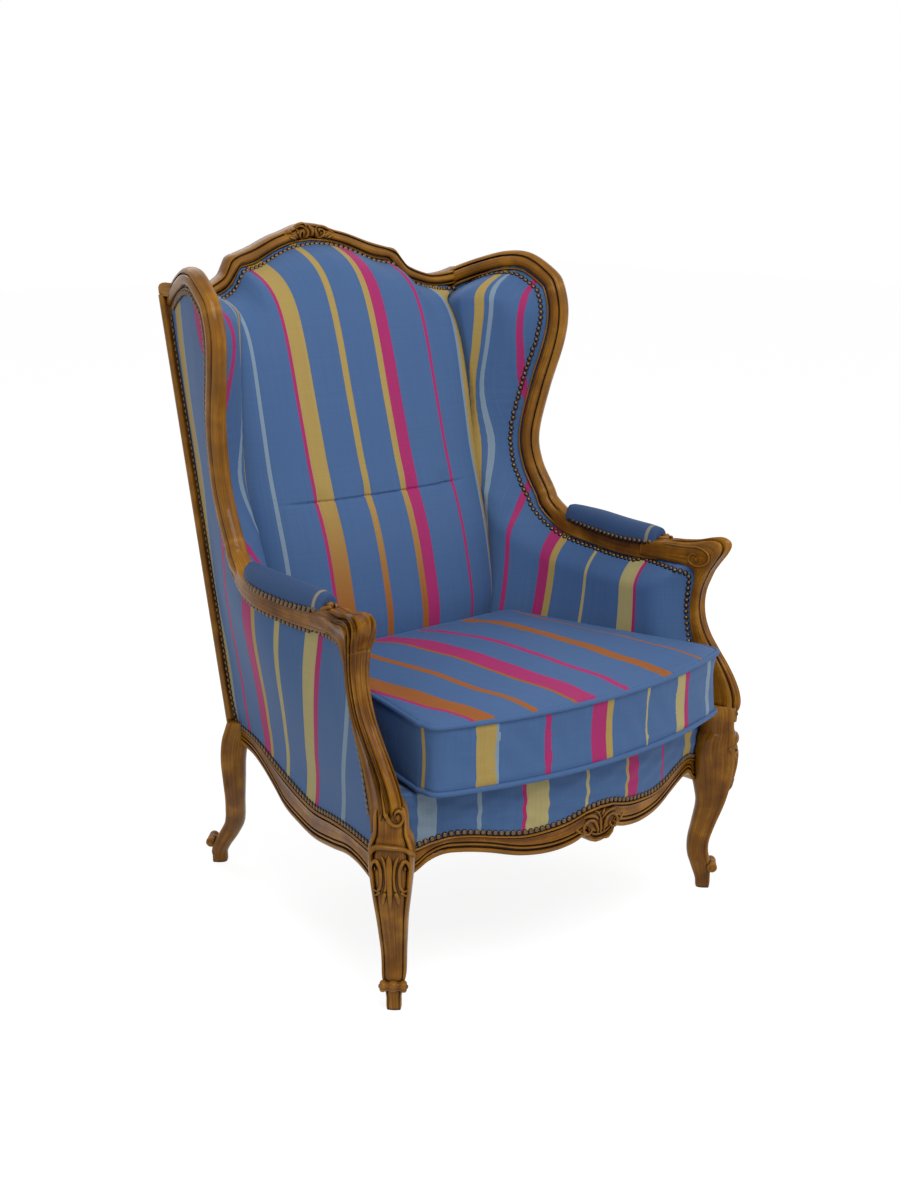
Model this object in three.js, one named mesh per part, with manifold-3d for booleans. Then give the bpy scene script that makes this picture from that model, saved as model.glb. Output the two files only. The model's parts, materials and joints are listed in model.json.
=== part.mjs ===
// Winged bergere armchair: a carved show-wood frame with stuffed back, wings and arms,
// a sprung seat deck and one loose cushion. Millimetres, +Z up, the chair faces -Y,
// the origin is on the floor under the middle of the chair.
import * as THREE from 'three';
import { mergeVertices } from 'three/addons/utils/BufferGeometryUtils.js';
import Module from 'manifold-3d';

const wasm = await Module();
wasm.setup();

// Overall sizes and the places of the feet
const height = 1080;
const cushion_front_half = 307;
const front_feet_y = -265;
const front_foot_out = 31;
const front_foot_x = cushion_front_half + front_foot_out;
const rear_foot_x = 211;
const feet_apart_y = 622;

// Rear posts: the line of the stile's centre from the seat rails to the crest
const post_x_low = 240;
const post_x_top = 282;
const post_back_low = 498;
const post_back_top = 588;
const post_drop = 102;
const post_top_z = height - post_drop;
const post_half_x = 20;
const post_half_y = 22;
const rear_leg_size = 26;

// Seat rails
const apron_low_z = 189;
const rail_top_z = 290;
const rail_thick = 32;
const rail_rebate = 11;
const front_rail_past_cushion = 3;
const front_rail_half = cushion_front_half + front_rail_past_cushion;
const front_rail_bow = 85;
const side_rail_start = 16;
const side_rail_end = 482;
const rail_front_out = 42.5;
const rail_splay_share = (cushion_front_half + rail_front_out - post_x_low) / post_back_low;
const rear_rail_thick = 26;
const rear_rail_low_z = 214;
const rail_ease = 5;

// Front legs, wings, arms and arm supports
const leg_top_z = 276;
const front_leg_size = 34;
const arm_z = 553;
const wing_drop = 68;
const wing_top_z = height - wing_drop;
const wing_reach = 205;
const arm_run = 483;
const arm_out = 22;
const arm_flare = cushion_front_half + arm_out - post_x_low;
const wing_draw_share = 0.13;
const support_foot_back = -19;
const support_sweep = 66;
const arm_nose_back = 9;
const wood_half_across = 17;
const wood_half_depth = 15;
const arm_half_depth = 22;
const support_half_across = 20;

// Crest rail
const crest_half = 300;
const shoulder_drop = 113;
const shoulder_z = height - shoulder_drop;
const crest_thick = 32;
const crest_step = 11;
const back_bow = 45;

// Upholstery
const deck_top_z = 319.5;
const deck_back = 476;
const deck_crown = 2;
const side_pad_rise = 34;
const pad_corner_fill = 21;
const pad_corner_ahead = 22;
const pad_corner_behind = 48;
const wing_pad_fill = 25;
const pad_edge_sink = 8;
const pad_edge_round = 45;
const panel_thick = 6;
const panel_recess = 4;
const back_seat_back = 362;
const back_lean = 136;
const back_crown = 47;
const back_crown_half = 240;
const back_roll = 100;
const back_pad_crest_sink = 7;
const back_seam_z = 676;
const back_seam_deep = 6;
const back_seam_half = 13;
const back_pad_thin = 16;
const cover_air = 4;
const cushion_low_z = 320;
const cushion_welt_low_z = 327;
const cushion_welt_high_z = 425;
const cushion_crown = 25;
const cushion_corner_back = -52;
const cushion_nose = 60;
const cushion_corner_round = 22;
const cushion_clear = 2;
const cushion_pull_in = 3;
const cushion_edge_in = 8;
const boxing_draw = 2;
const welt_r = 4;
const arm_pad_start = 338;
const arm_pad_end = 128;
const arm_pad_half = 23;
const arm_pad_high = 25;

// Hidden pieces
const stay_thick = 20;
const stay_high = 28;
const back_stay_z = 352;
const side_stay_z = 318;
const block_leg = 120;
const front_block_in = 15;
const rear_block_out = 4;
const web_wide = 50;
const web_thick = 1.6;
const web_z = 233;
const web_weave = 0.3;
const web_pitch_x = 118;
const web_pitch_y = 120;
const web_first_back = 116;
const spring_r = 30;
const spring_wire_r = 1.9;
const spring_turns = 3;
const spring_steps = 5;
const cloth_thick = 1.5;
const nail_strip_half = 4.5;
const nail_strip_thick = 1.6;

// The air between neighbours, and the least steps worth keeping in a mesh
const gap = 0.35;
const merge_reach = 0.0001;
const level_least = 1;
const outline_least = 1;

const colours = {
  walnut: new THREE.MeshStandardMaterial({ color: 0x9a5f26, roughness: 0.38, metalness: 0 }),
  blue_stripe: new THREE.MeshStandardMaterial({ color: 0x5177ab, roughness: 0.72, metalness: 0 }),
  arm_cover: new THREE.MeshStandardMaterial({ color: 0x3b5c8c, roughness: 0.7, metalness: 0 }),
  nails: new THREE.MeshStandardMaterial({ color: 0x6f5a3c, roughness: 0.4, metalness: 1 }),
  webbing: new THREE.MeshStandardMaterial({ color: 0xb9a47c, roughness: 0.9, metalness: 0 }),
  spring_steel: new THREE.MeshStandardMaterial({ color: 0x8c8f93, roughness: 0.35, metalness: 1 }),
  bottom_cloth: new THREE.MeshStandardMaterial({ color: 0x24221f, roughness: 0.95, metalness: 0 }),
  beech: new THREE.MeshStandardMaterial({ color: 0xc9a26c, roughness: 0.7, metalness: 0 }),
};

// Small maths
const lerp = THREE.MathUtils.lerp;
const clamp = THREE.MathUtils.clamp;
const ease = (low, high, value) => THREE.MathUtils.smoothstep(value, low, high);
const fromFeet = (back) => front_feet_y + back;
const at = (x, y, z) => new THREE.Vector3(x, y, z);
const steps = (count) => Array.from({ length: count + 1 }, (_, index) => index / count);

// A smooth graph through rows of [place, value], with straight runs past its ends
function graph(rows) {
  const slope = (a, b) => (b[1] - a[1]) / (b[0] - a[0]);
  const last = rows.length - 1;
  const tangents = rows.map((row, i) => {
    if (i === 0) return slope(rows[0], rows[1]);
    if (i === last) return slope(rows[last - 1], rows[last]);
    return (slope(rows[i - 1], row) + slope(row, rows[i + 1])) / 2;
  });
  return (place) => {
    if (place <= rows[0][0]) return rows[0][1] + tangents[0] * (place - rows[0][0]);
    if (place >= rows[last][0]) return rows[last][1] + tangents[last] * (place - rows[last][0]);
    const i = rows.findIndex((row) => row[0] > place) - 1;
    const wide = rows[i + 1][0] - rows[i][0];
    const t = (place - rows[i][0]) / wide;
    const keep = (1 + 2 * t) * (1 - t) ** 2;
    const leave = t * (1 - t) ** 2 * wide * tangents[i];
    const arrive = t ** 2 * (t - 1) * wide * tangents[i + 1];
    return keep * rows[i][1] + leave + (1 - keep) * rows[i + 1][1] + arrive;
  };
}

// Points evenly spread along a smooth curve through the given points
function sampled(points, count) {
  return new THREE.CatmullRomCurve3(points, false, 'catmullrom').getSpacedPoints(count);
}

// Closed solid from vertices and triangles, turned to face outwards
function solidOf(vertices, faces) {
  let volume = 0;
  for (const [a, b, c] of faces) {
    volume += vertices[a].dot(vertices[b].clone().cross(vertices[c]));
  }
  const turned = volume < 0 ? faces.map(([a, b, c]) => [a, c, b]) : faces;
  const geometry = new THREE.BufferGeometry();
  const places = vertices.flatMap((vertex) => vertex.toArray());
  geometry.setAttribute('position', new THREE.Float32BufferAttribute(places, 3));
  geometry.setIndex(turned.flat());
  const merged = mergeVertices(geometry, merge_reach);
  return new wasm.Manifold(new wasm.Mesh({
    numProp: 3,
    vertProperties: new Float32Array(merged.attributes.position.array),
    triVerts: new Uint32Array(merged.index.array),
  }));
}

// Triangles that close a flat ring, all turned the way the ring runs
function capOf(ring) {
  const normal = at(0, 0, 0);
  ring.forEach((point, i) => normal.add(point.clone().cross(ring[(i + 1) % ring.length])));
  normal.normalize();
  const across = Math.abs(normal.z) > Math.SQRT1_2 ? at(1, 0, 0) : at(0, 0, 1);
  const u = across.sub(normal.clone().multiplyScalar(across.dot(normal))).normalize();
  const v = normal.clone().cross(u);
  const flat = ring.map((point) => new THREE.Vector2(point.dot(u), point.dot(v)));
  return THREE.ShapeUtils.triangulateShape(flat, []).map(([a, b, c]) => {
    const turn = flat[b].clone().sub(flat[a]).cross(flat[c].clone().sub(flat[a]));
    return turn > 0 ? [a, b, c] : [a, c, b];
  });
}

// Closed solid through a row of rings of equal count; a closed row has no end caps, and
// rings that run across the chair are split into triangles alike on both of its sides
function loft(rings, closed = false) {
  const last = rings.length - 1;
  const spans = closed ? rings.length : last;
  const starts_x = rings[0][0].x;
  const across_chair = !closed && starts_x < 0 && Math.abs(starts_x + rings[last][0].x) < gap;
  const count = rings[0].length;
  const faces = [];
  for (let r = 0; r < spans; r += 1) {
    const here = r * count;
    const next = ((r + 1) % rings.length) * count;
    const turned = across_chair && r >= last / 2;
    for (let j = 0; j < count; j += 1) {
      const k = (j + 1) % count;
      if (turned) faces.push([here + j, here + k, next + j], [here + k, next + k, next + j]);
      else faces.push([here + j, here + k, next + k], [here + j, next + k, next + j]);
    }
  }
  if (!closed) {
    const end = last * count;
    capOf(rings[0]).forEach(([a, b, c]) => faces.push([a, c, b]));
    capOf(rings[last]).forEach(([a, b, c]) => faces.push([end + a, end + b, end + c]));
  }
  return solidOf(rings.flat(), faces);
}

// Box between two corners
function block(low, high) {
  const corners = [[low.x, low.y], [high.x, low.y], [high.x, high.y], [low.x, high.y]];
  return loft([low.z, high.z].map((z) => corners.map(([x, y]) => at(x, y, z))));
}

const join = (solids) => solids.reduce((sum, solid) => sum.add(solid));
const cut = (solid, tools) => tools.reduce((rest, tool) => rest.subtract(tool), solid);

// The largest body left of a solid after its cuts
function mainBody(solid) {
  return solid.decompose().reduce((best, body) => (body.volume() > best.volume() ? body : best));
}

// The same solid on the other side of the chair
function mirrored(solid) {
  const mesh = solid.getMesh();
  const vertices = [];
  for (let i = 0; i < mesh.numVert; i += 1) {
    const p = mesh.vertProperties.slice(i * mesh.numProp, i * mesh.numProp + 3);
    vertices.push(at(-p[0], p[1], p[2]));
  }
  const faces = [];
  for (let i = 0; i < mesh.numTri; i += 1) faces.push([...mesh.triVerts.slice(i * 3, i * 3 + 3)]);
  return solidOf(vertices, faces);
}

const both = (solid) => [solid, mirrored(solid)];
const mirroredAll = (tools) => tools.flatMap(both);

// Sections, as shares of the half sizes across and in depth
const round_shares = [
  [-1, -0.4], [-0.52, -0.94], [0.52, -0.94], [1, -0.4],
  [1, 0.4], [0.52, 0.94], [-0.52, 0.94], [-1, 0.4],
];
const strap_shares = [[-1, -1], [1, -1], [1, 1], [-1, 1]];
const wire_shares = [[-1, 0], [0, -1], [1, 0], [0, 1]];

// A member swept along points: `face` is the direction its depth lies in, `half` gives
// its half sizes at a share of its length, and `grow` widens it all round for a cutter
function sweep(points, face, half, section_shares, grow = 0) {
  const last = points.length - 1;
  const rings = points.map((point, i) => {
    const before = points[Math.max(i - 1, 0)];
    const tangent = points[Math.min(i + 1, last)].clone().sub(before).normalize();
    const across = tangent.clone().cross(face).normalize();
    const depth = across.clone().cross(tangent);
    const [half_across, half_depth] = half(i / last);
    const centre = point.clone();
    if (i === 0) centre.addScaledVector(tangent, -grow);
    if (i === last) centre.addScaledVector(tangent, grow);
    return section_shares.map(([a, d]) => centre.clone()
      .addScaledVector(across, a * (half_across + grow))
      .addScaledVector(depth, d * (half_depth + grow)));
  });
  return loft(rings);
}

// The rear post's centre, and the curved side of the chair that wings, arms and panels follow
const wing_draw_from_share = 0.45;
function postAt(z) {
  const up = (z - rail_top_z) / (post_top_z - rail_top_z);
  return [lerp(post_x_low, post_x_top, up), fromFeet(lerp(post_back_low, post_back_top, up))];
}
const flare_shares = graph([
  [0, 0], [0.28, 0.64], [0.4, 0.86], [0.52, 0.98], [0.69, 0.98], [0.855, 1], [0.94, 1.09], [1, 1.19],
]);
function sideX(y, z) {
  const [post_x, post_y] = postAt(z);
  const ahead = post_y - y;
  const draw_in = 1 - wing_draw_share * ease(lerp(arm_z, wing_top_z, wing_draw_from_share), wing_top_z, z);
  const upper = arm_flare * flare_shares(ahead / arm_run) * draw_in;
  const lower = ahead * rail_splay_share;
  return post_x + lerp(lower, upper, ease(rail_top_z, arm_z, z));
}
const onSide = (y, z) => at(sideX(y, z), y, z);

// Wing rows: ahead of the post as a share of the reach, up from the arm as a share of the wing
const wing_top_shares = [
  [0.03, 0.92], [0.14, 0.943], [0.34, 0.974], [0.55, 0.997], [0.74, 0.993], [0.92, 0.943], [0.98, 0.904],
];
const wing_post_shares = [
  [0.98, 0.904], [1, 0.82], [0.94, 0.712], [0.78, 0.538], [0.67, 0.364], [0.69, 0.25], [0.79, 0.146],
];
// Arm rows: along from the wing post to the nose, up from the arm's height as a share of the wing
const arm_shares = [
  [0.03, 0.102], [0.11, 0.05], [0.18, 0.028], [0.3, 0.013], [0.53, 0], [0.77, 0.012], [0.97, 0.042],
];
// Support rows: up from the leg to the arm, back from the foot as a share of the sweep
const support_shares = [
  [0.93, 0.88], [0.806, 1], [0.66, 0.94], [0.513, 0.76], [0.366, 0.39], [0.22, 0.06], [0.073, 0], [0, 0],
];

const wing_high = wing_top_z - arm_z;
function wingPoint([reach_share, up_share]) {
  const z = arm_z + up_share * wing_high;
  return onSide(postAt(z)[1] - reach_share * wing_reach, z);
}
const wing_top_line = wing_top_shares.map(wingPoint);
const wing_post_line = wing_post_shares.map(wingPoint);
const arm_rear_y = wing_post_line[wing_post_line.length - 1].y;
const arm_nose_y = fromFeet(arm_nose_back);
const arm_line = arm_shares.map(([run_share, up_share]) => onSide(
  lerp(arm_rear_y, arm_nose_y, run_share),
  arm_z + up_share * wing_high,
));
const support_line = support_shares.map(([up_share, back_share]) => onSide(
  fromFeet(support_foot_back + back_share * support_sweep),
  lerp(leg_top_z, arm_z, up_share),
));

// One smooth line from the crest to the arm's nose, cut into wing top, wing post and arm
const side_line = new THREE.CatmullRomCurve3(
  [...wing_top_line, ...wing_post_line.slice(1), ...arm_line], false, 'catmullrom',
);
const wing_top_end = wing_top_line.length - 1;
const wing_post_end = wing_top_end + wing_post_line.length - 1;
const side_spans = wing_post_end + arm_line.length;
const side_joints = [0, wing_top_end, wing_post_end, side_spans];
const side_face = at(1, 0, 0);

// The points of one of its members, ending half a joint gap short at each joint
function sideMember(which, count) {
  const start = side_joints[which];
  const end = side_joints[which + 1];
  const points = steps(count).map((s) => side_line.getPoint(lerp(start, end, s) / side_spans));
  const last = points.length - 1;
  const shorten = (edge, inner) => edge.addScaledVector(inner.clone().sub(edge).normalize(), gap / 2);
  if (which > 0) shorten(points[0], points[1]);
  if (which < 2) shorten(points[last], points[last - 1]);
  return points;
}

const wing_half = () => [wood_half_across, wood_half_depth];
const arm_across_shares = graph([[0, 1], [0.2, 1.02], [0.8, 1], [0.9, 1.05], [0.96, 0.95], [1, 0.5]]);
const arm_depth_shares = graph([[0, 0.73], [0.3, 1], [0.78, 1.02], [0.92, 1.16], [0.97, 0.95], [1, 0.55]]);
const arm_half = (s) => [wood_half_across * arm_across_shares(s), arm_half_depth * arm_depth_shares(s)];
const support_across_shares = graph([
  [0, 1.05], [0.3, 1], [0.55, 1.1], [0.8, 1.5], [0.95, 1.7], [1, 1.6],
]);
const support_half = (s) => [support_half_across * support_across_shares(s), wood_half_depth];

const wingTop = (grow = 0) => sweep(sideMember(0, 12), side_face, wing_half, round_shares, grow);
const wingPost = (grow = 0) => sweep(sideMember(1, 13), side_face, wing_half, round_shares, grow);
const armRail = (grow = 0) => sweep(sideMember(2, 16), side_face, arm_half, round_shares, grow);
const armSupport = (grow = 0) => sweep(
  sampled(support_line, 11), side_face, support_half, round_shares, grow,
);

// Front legs. Rows: up the leg, out along the diagonal, half depth and half width, as shares
const front_leg_shares = [
  [0, 0, 0.33, 0.33], [0.044, 0, 0.38, 0.36], [0.05, 0, 0.5, 0.5], [0.1, 0.04, 0.65, 0.6],
  [0.145, -0.02, 0.63, 0.57], [0.18, -0.26, 0.5, 0.52], [0.25, -0.34, 0.515, 0.52],
  [0.32, -0.29, 0.53, 0.56], [0.41, -0.1, 0.575, 0.64],
  [0.51, 0.15, 0.64, 0.72], [0.63, 0.34, 0.72, 0.8], [0.73, 0.4, 0.8, 0.87], [0.82, 0.42, 0.88, 0.95],
  [0.92, 0.3, 0.86, 1], [1, 0.22, 0.82, 0.98],
];
const corner_turn = Math.PI / 4;
const front_out = at(Math.cos(corner_turn), -Math.sin(corner_turn), 0);
const front_side = at(Math.sin(corner_turn), Math.cos(corner_turn), 0);
function frontLeg(grow = 0) {
  const foot = at(front_foot_x, front_feet_y, 0);
  return loft(front_leg_shares.map(([up, out, deep, wide]) => round_shares.map(([a, d]) => foot.clone()
    .addScaledVector(front_side, a * (wide * front_leg_size + grow))
    .addScaledVector(front_out, out * front_leg_size + d * (deep * front_leg_size + grow))
    .setZ(up === 1 ? leg_top_z + grow : up * leg_top_z))));
}

// Rear legs run up into the posts. Rows: up, inward, forward and half size, as shares
const post_start_share = 1.04;
const rear_leg_shares = [
  [0, 0, 0, 0.46], [0.041, 0, 0, 0.5], [0.048, -0.03, 0.016, 0.69], [0.12, -0.17, 0.065, 0.77],
  [0.172, -0.2, 0.1, 0.73], [0.224, -0.07, 0.18, 0.63], [0.31, -0.07, 0.355, 0.58], [0.472, -0.52, 0.6, 0.62],
  [0.62, -0.93, 0.73, 0.69], [0.776, -1.28, 0.82, 0.81], [0.914, -1.38, 0.87, 0.885],
];
const rear_knee_in = post_x_low - rear_foot_x;
const rear_knee_back = feet_apart_y - post_back_low;
function rearPost(grow = 0) {
  const rings = rear_leg_shares.map(([up, inward, forward, size]) => round_shares.map(([a, d]) => at(
    rear_foot_x - inward * rear_knee_in + a * (size * rear_leg_size + grow),
    fromFeet(feet_apart_y - forward * rear_knee_back) + d * (size * rear_leg_size + grow),
    up * rail_top_z,
  )));
  for (const up of steps(4)) {
    const z = lerp(rail_top_z * post_start_share, post_top_z, up) + (up === 1 ? grow : 0);
    const [x, y] = postAt(z);
    rings.push(round_shares.map(
      ([a, d]) => at(x + a * (post_half_x + grow), y + d * (post_half_y + grow), z),
    ));
  }
  return loft(rings);
}

// Seat rails. Rows: along the rail, lower edge and moulding's upper edge, as shares of its height
const front_edge_shares = [
  [0, 0.02, 0.594], [0.09, 0.11, 0.57], [0.145, 0.14, 0.525], [0.226, 0.09, 0.47],
  [0.323, 0.065, 0.44], [0.452, 0.1, 0.43], [0.58, 0.18, 0.49], [0.71, 0.267, 0.565],
  [0.806, 0.317, 0.58], [0.887, 0.277, 0.53], [0.968, 0.1, 0.44], [1.08, 0.1, 0.43],
];
const side_edge_shares = [
  [0, 0.03, 0.5], [0.09, 0.13, 0.525], [0.17, 0.15, 0.535], [0.28, 0.07, 0.515],
  [0.42, 0, 0.465], [0.54, 0.05, 0.53], [0.65, 0.15, 0.63], [0.72, 0.31, 0.7],
  [0.815, 0.5, 0.82], [0.9, 0.62, 0.9], [1, 0.66, 0.92],
];
const rail_high = rail_top_z - apron_low_z;
const edge = (rows, column) => {
  const shares = graph(rows.map((row) => [row[0], row[column]]));
  return (run_share) => apron_low_z + rail_high * shares(run_share);
};
const front_low = edge(front_edge_shares, 1);
const front_high = edge(front_edge_shares, 2);
const side_low = edge(side_edge_shares, 1);
const side_high = edge(side_edge_shares, 2);

// One rail section: out from `face` to the room, in towards the seat, as [in, z] pairs
function railSection(low, high, grow) {
  return [
    [rail_ease - grow, low - grow], [-grow, low + rail_ease],
    [-grow, high - rail_ease], [rail_ease - grow, high + grow],
    [rail_rebate - grow, high + grow], [rail_rebate - grow, rail_top_z + grow],
    [rail_thick + grow, rail_top_z + grow], [rail_thick + grow, low - grow],
  ];
}
const frontFaceY = (x) => fromFeet(-front_rail_bow * (1 - (x / front_rail_half) ** 2));
const front_rail_end_share = 1.07;
const front_rail_end = front_rail_half * front_rail_end_share;
const front_runs = steps(32).map((s) => lerp(-front_rail_end, front_rail_end, s));
function frontRail(grow = 0) {
  return loft(front_runs.map((x) => {
    const share = Math.abs(x) / front_rail_half;
    const section = railSection(front_low(share), front_high(share), grow);
    return section.map(([inside, z]) => at(x, frontFaceY(x) + inside, z));
  }));
}
const rail_face_z = (apron_low_z + rail_top_z) / 2;
const sideFaceX = (y) => sideX(y, rail_face_z) + rail_thick / 2;
function sideRail(grow = 0) {
  return loft(steps(24).map((s) => {
    const y = fromFeet(lerp(side_rail_start, side_rail_end, s));
    const section = railSection(side_low(s), side_high(s), grow);
    return section.map(([inside, z]) => at(sideFaceX(y) - inside, y, z));
  }));
}
const rear_rail_y = postAt(rail_top_z)[1];
function rearRail(grow = 0) {
  const half_deep = rear_rail_thick / 2 + grow;
  return block(
    at(-post_x_low, rear_rail_y - half_deep, rear_rail_low_z - grow),
    at(post_x_low, rear_rail_y + half_deep, rail_top_z + grow),
  );
}

// Crest rail. Rows: out from the middle, and up as a share of the rise from shoulder to crest
const crest_top_shares = [
  [0, 1], [0.08, 0.97], [0.17, 0.895], [0.25, 0.84], [0.4, 0.7], [0.52, 0.61], [0.57, 0.57],
  [0.6, 0.46], [0.63, 0.35], [0.67, 0.285], [0.72, 0.23], [0.78, 0.187], [0.88, 0.205], [1, 0.27],
];
const crest_low_shares = [
  [0, 0.735], [0.13, 0.7], [0.23, 0.63], [0.33, 0.525], [0.4, 0.45], [0.465, 0.415], [0.52, 0.385],
  [0.545, 0.3], [0.585, 0.177], [0.63, 0.106], [0.7, 0.044], [0.78, 0], [0.9, 0.01], [1, 0.08],
];
const crest_rise = height - shoulder_z;
const crest_top = graph(crest_top_shares.map(([run, up]) => [run, shoulder_z + up * crest_rise]));
const crest_low = graph(crest_low_shares.map(([run, up]) => [run, shoulder_z + up * crest_rise]));
const bowAt = (x) => back_bow * (1 - (x / crest_half) ** 2);
const crestFrontY = (x, z) => postAt(z)[1] - post_half_y - crest_step + bowAt(x);
function crestRearOff(x) {
  const own = bowAt(x) - post_half_y - crest_step + crest_thick;
  return lerp(own, post_half_y, (x / crest_half) ** 4);
}
const crest_section_shares = [
  [0.16, 0], [0.8, 0], [1, 0.28], [0.95, 0.7], [0.68, 1], [0.16, 1], [0, 0.86], [0, 0.14],
];
const crest_run_shares = [
  -1, -0.9, -0.8, -0.72, -0.66, -0.62, -0.59, -0.56, -0.52, -0.44, -0.33, -0.22, -0.11, 0,
];
const acrossBoth = (shares) => [...shares, ...shares.slice(0, -1).reverse().map((share) => -share)];
function crestRail(grow = 0) {
  return loft(acrossBoth(crest_run_shares).map((run) => {
    const x = run * crest_half + (Math.abs(run) === 1 ? run * grow : 0);
    const low = crest_low(Math.abs(run)) - grow;
    const high = crest_top(Math.abs(run)) + grow;
    return crest_section_shares.map(([up, back]) => {
      const z = lerp(low, high, up);
      return at(x, lerp(crestFrontY(x, z) - grow, postAt(z)[1] + crestRearOff(x) + grow, back), z);
    });
  }));
}

// The edges of the side's opening, as the front and rear limits of a level slice at z
const side_samples = steps(90).map((s) => side_line.getPoint(s));
const support_samples = sampled(support_line, 30);
const apex = side_samples.reduce((best, point, i) => (point.z > side_samples[best].z ? i : best), 0);
function limit(points) {
  const rising = points.filter((p, i, all) => i === 0 || p.z > all[i - 1].z + level_least);
  return graph(rising.map((p) => [p.z, p.y]));
}
const wing_foot_share = 0.03;
const arm_low_index = side_samples.findIndex(
  (p, i) => i > apex && p.z < arm_z + wing_foot_share * wing_high,
);
const wingFrontY = limit(side_samples.slice(apex, arm_low_index).reverse());
const wingRearY = limit(side_samples.slice(0, apex));
const supportY = limit([...support_samples].reverse());
const arm_under_z = arm_z - wood_half_across / 2;
const wing_foot_z = side_samples[arm_low_index].z;
function sliceFrontY(z) {
  if (z < arm_under_z) return supportY(z);
  if (z > wing_foot_z) return wingFrontY(z);
  const along_arm = (z - arm_under_z) / (wing_foot_z - arm_under_z);
  return lerp(supportY(arm_under_z), wingFrontY(wing_foot_z), along_arm);
}
const wing_root_z = side_samples[0].z;
const sliceRearY = (z) => (z < wing_root_z ? postAt(z)[1] : Math.min(wingRearY(z), postAt(z)[1]));

// How far a place on the side lies inside the show wood's edge
function insideEdge(y, z) {
  const near = [...side_samples, ...support_samples].reduce(
    (least, point) => Math.min(least, Math.hypot(point.y - y, point.z - z)), wing_high,
  );
  return Math.max(near - wood_half_across, 0);
}

// The stuffed back's face: it leans back above the cushion, crowned from its middle to its sides
const back_lean_shares = [
  [0, 0], [0.065, 0], [0.175, 0.08], [0.286, 0.19], [0.397, 0.346], [0.507, 0.507], [0.618, 0.632],
  [0.729, 0.75], [0.84, 0.853], [1, 1],
];
const back_crown_shares = [[0, 1], [0.14, 0.96], [0.32, 0.87], [0.5, 0.64], [0.69, 0.36], [0.88, 0.1], [1, 0]];
const backLean = graph(back_lean_shares);
const backCrown = graph(back_crown_shares);
function backFaceY(x, z) {
  const up = (z - cushion_welt_high_z) / (shoulder_z - cushion_welt_high_z);
  const crown = back_crown * Math.max(backCrown(up), 0) * (x / back_crown_half) ** 4;
  return fromFeet(back_seat_back + back_lean * backLean(up)) + crown;
}

// Stuffing over the side: fuller in the corner that it makes with the back, and again up the wing
const corner_start_y = fromFeet(back_seat_back - pad_corner_ahead);
const corner_end_y = fromFeet(back_seat_back + pad_corner_behind);
const wing_fill_shares = [0.43, 0.91];
const wing_fill_z = wing_fill_shares.map((share) => lerp(arm_z, wing_top_z, share));
function padInnerX(y, z) {
  const seen_y = Math.min(y, backFaceY(back_crown_half, z));
  const corner = pad_corner_fill * ease(corner_start_y, corner_end_y, seen_y);
  const upper = wing_pad_fill * ease(...wing_fill_z, z);
  const fade = 1 - (1 - Math.min(insideEdge(y, z) / pad_edge_round, 1)) ** 2;
  return sideX(seen_y, z) - pad_edge_sink - (side_pad_rise + corner + upper) * fade;
}

// A slab on the chair's side from slices: its two faces are functions of y and z
function sideSlab(levels, first, second, grow) {
  return loft(levels.map((z, level) => {
    const front = sliceFrontY(z) - grow;
    const rear = sliceRearY(z) + grow;
    const lift = level === 0 ? -grow : 0;
    const top = level === levels.length - 1 ? grow : 0;
    const row = steps(slab_columns).map((s) => lerp(front, rear, s));
    const turn = Math.sign(first(rear, z) - second(rear, z));
    return [
      ...row.map((y) => at(first(y, z) + turn * grow, y, z + lift + top)),
      ...row.reverse().map((y) => at(second(y, z) - turn * grow, y, z + lift + top)),
    ];
  }));
}
const pad_low_z = rail_top_z + gap;
const slab_columns = 5;
const slab_low_shares = [0, 0.25, 0.55, 0.78, 0.93];
const slab_arm_shares = [0, 0.25, 0.5, 0.75];
const slab_high_shares = [0.045, 0.11, 0.2, 0.34, 0.52, 0.7, 0.86, 0.95, 0.985];
const slabLevels = (low) => [
  ...slab_low_shares.map((share) => lerp(low, arm_under_z, share)),
  ...slab_arm_shares.map((share) => lerp(arm_under_z, wing_foot_z, share)),
  ...slab_high_shares.map((share) => arm_z + share * wing_high),
];
const panelOuterX = (y, z) => sideX(y, z) + wood_half_depth - panel_recess;
const panelInnerX = (y, z) => panelOuterX(y, z) - panel_thick;
const padOuterX = (y, z) => panelInnerX(y, z) - 2 * gap;
const sidePadBlank = (grow = 0) => sideSlab(slabLevels(pad_low_z), padInnerX, padOuterX, grow);
const sidePanelBlank = () => sideSlab(slabLevels(pad_low_z), panelOuterX, panelInnerX, 0);

// The wood, seated piece by piece
const crest_rail = crestRail();
const crest_cutter = crestRail(gap);
const post_cutter = rearPost(gap);
const rear_post = mainBody(cut(rearPost(), [crest_cutter]));
const front_leg_solid = frontLeg();
const leg_cutter = frontLeg(gap);
const arm_cutter = armRail(gap);
const support_cutter = armSupport(gap);
const wing_top_cutter = wingTop(gap);
const wing_post_cutter = wingPost(gap);
const side_rail_cutter = sideRail(gap);
const front_rail_cutter = frontRail(gap);
const rear_rail_cutter = rearRail(gap);

const wing_top = mainBody(cut(wingTop(), [crest_cutter, post_cutter]));
const wing_post = mainBody(cut(wingPost(), [wing_top_cutter]));
const arm = mainBody(cut(armRail(), [wing_post_cutter]));
const arm_support = mainBody(cut(armSupport(), [arm_cutter, leg_cutter]));
const front_rail = mainBody(cut(frontRail(), mirroredAll([leg_cutter, support_cutter])));
const side_rail = mainBody(cut(sideRail(), [leg_cutter, post_cutter, support_cutter, front_rail_cutter]));
const rear_rail = mainBody(cut(rearRail(), both(post_cutter)));

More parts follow.
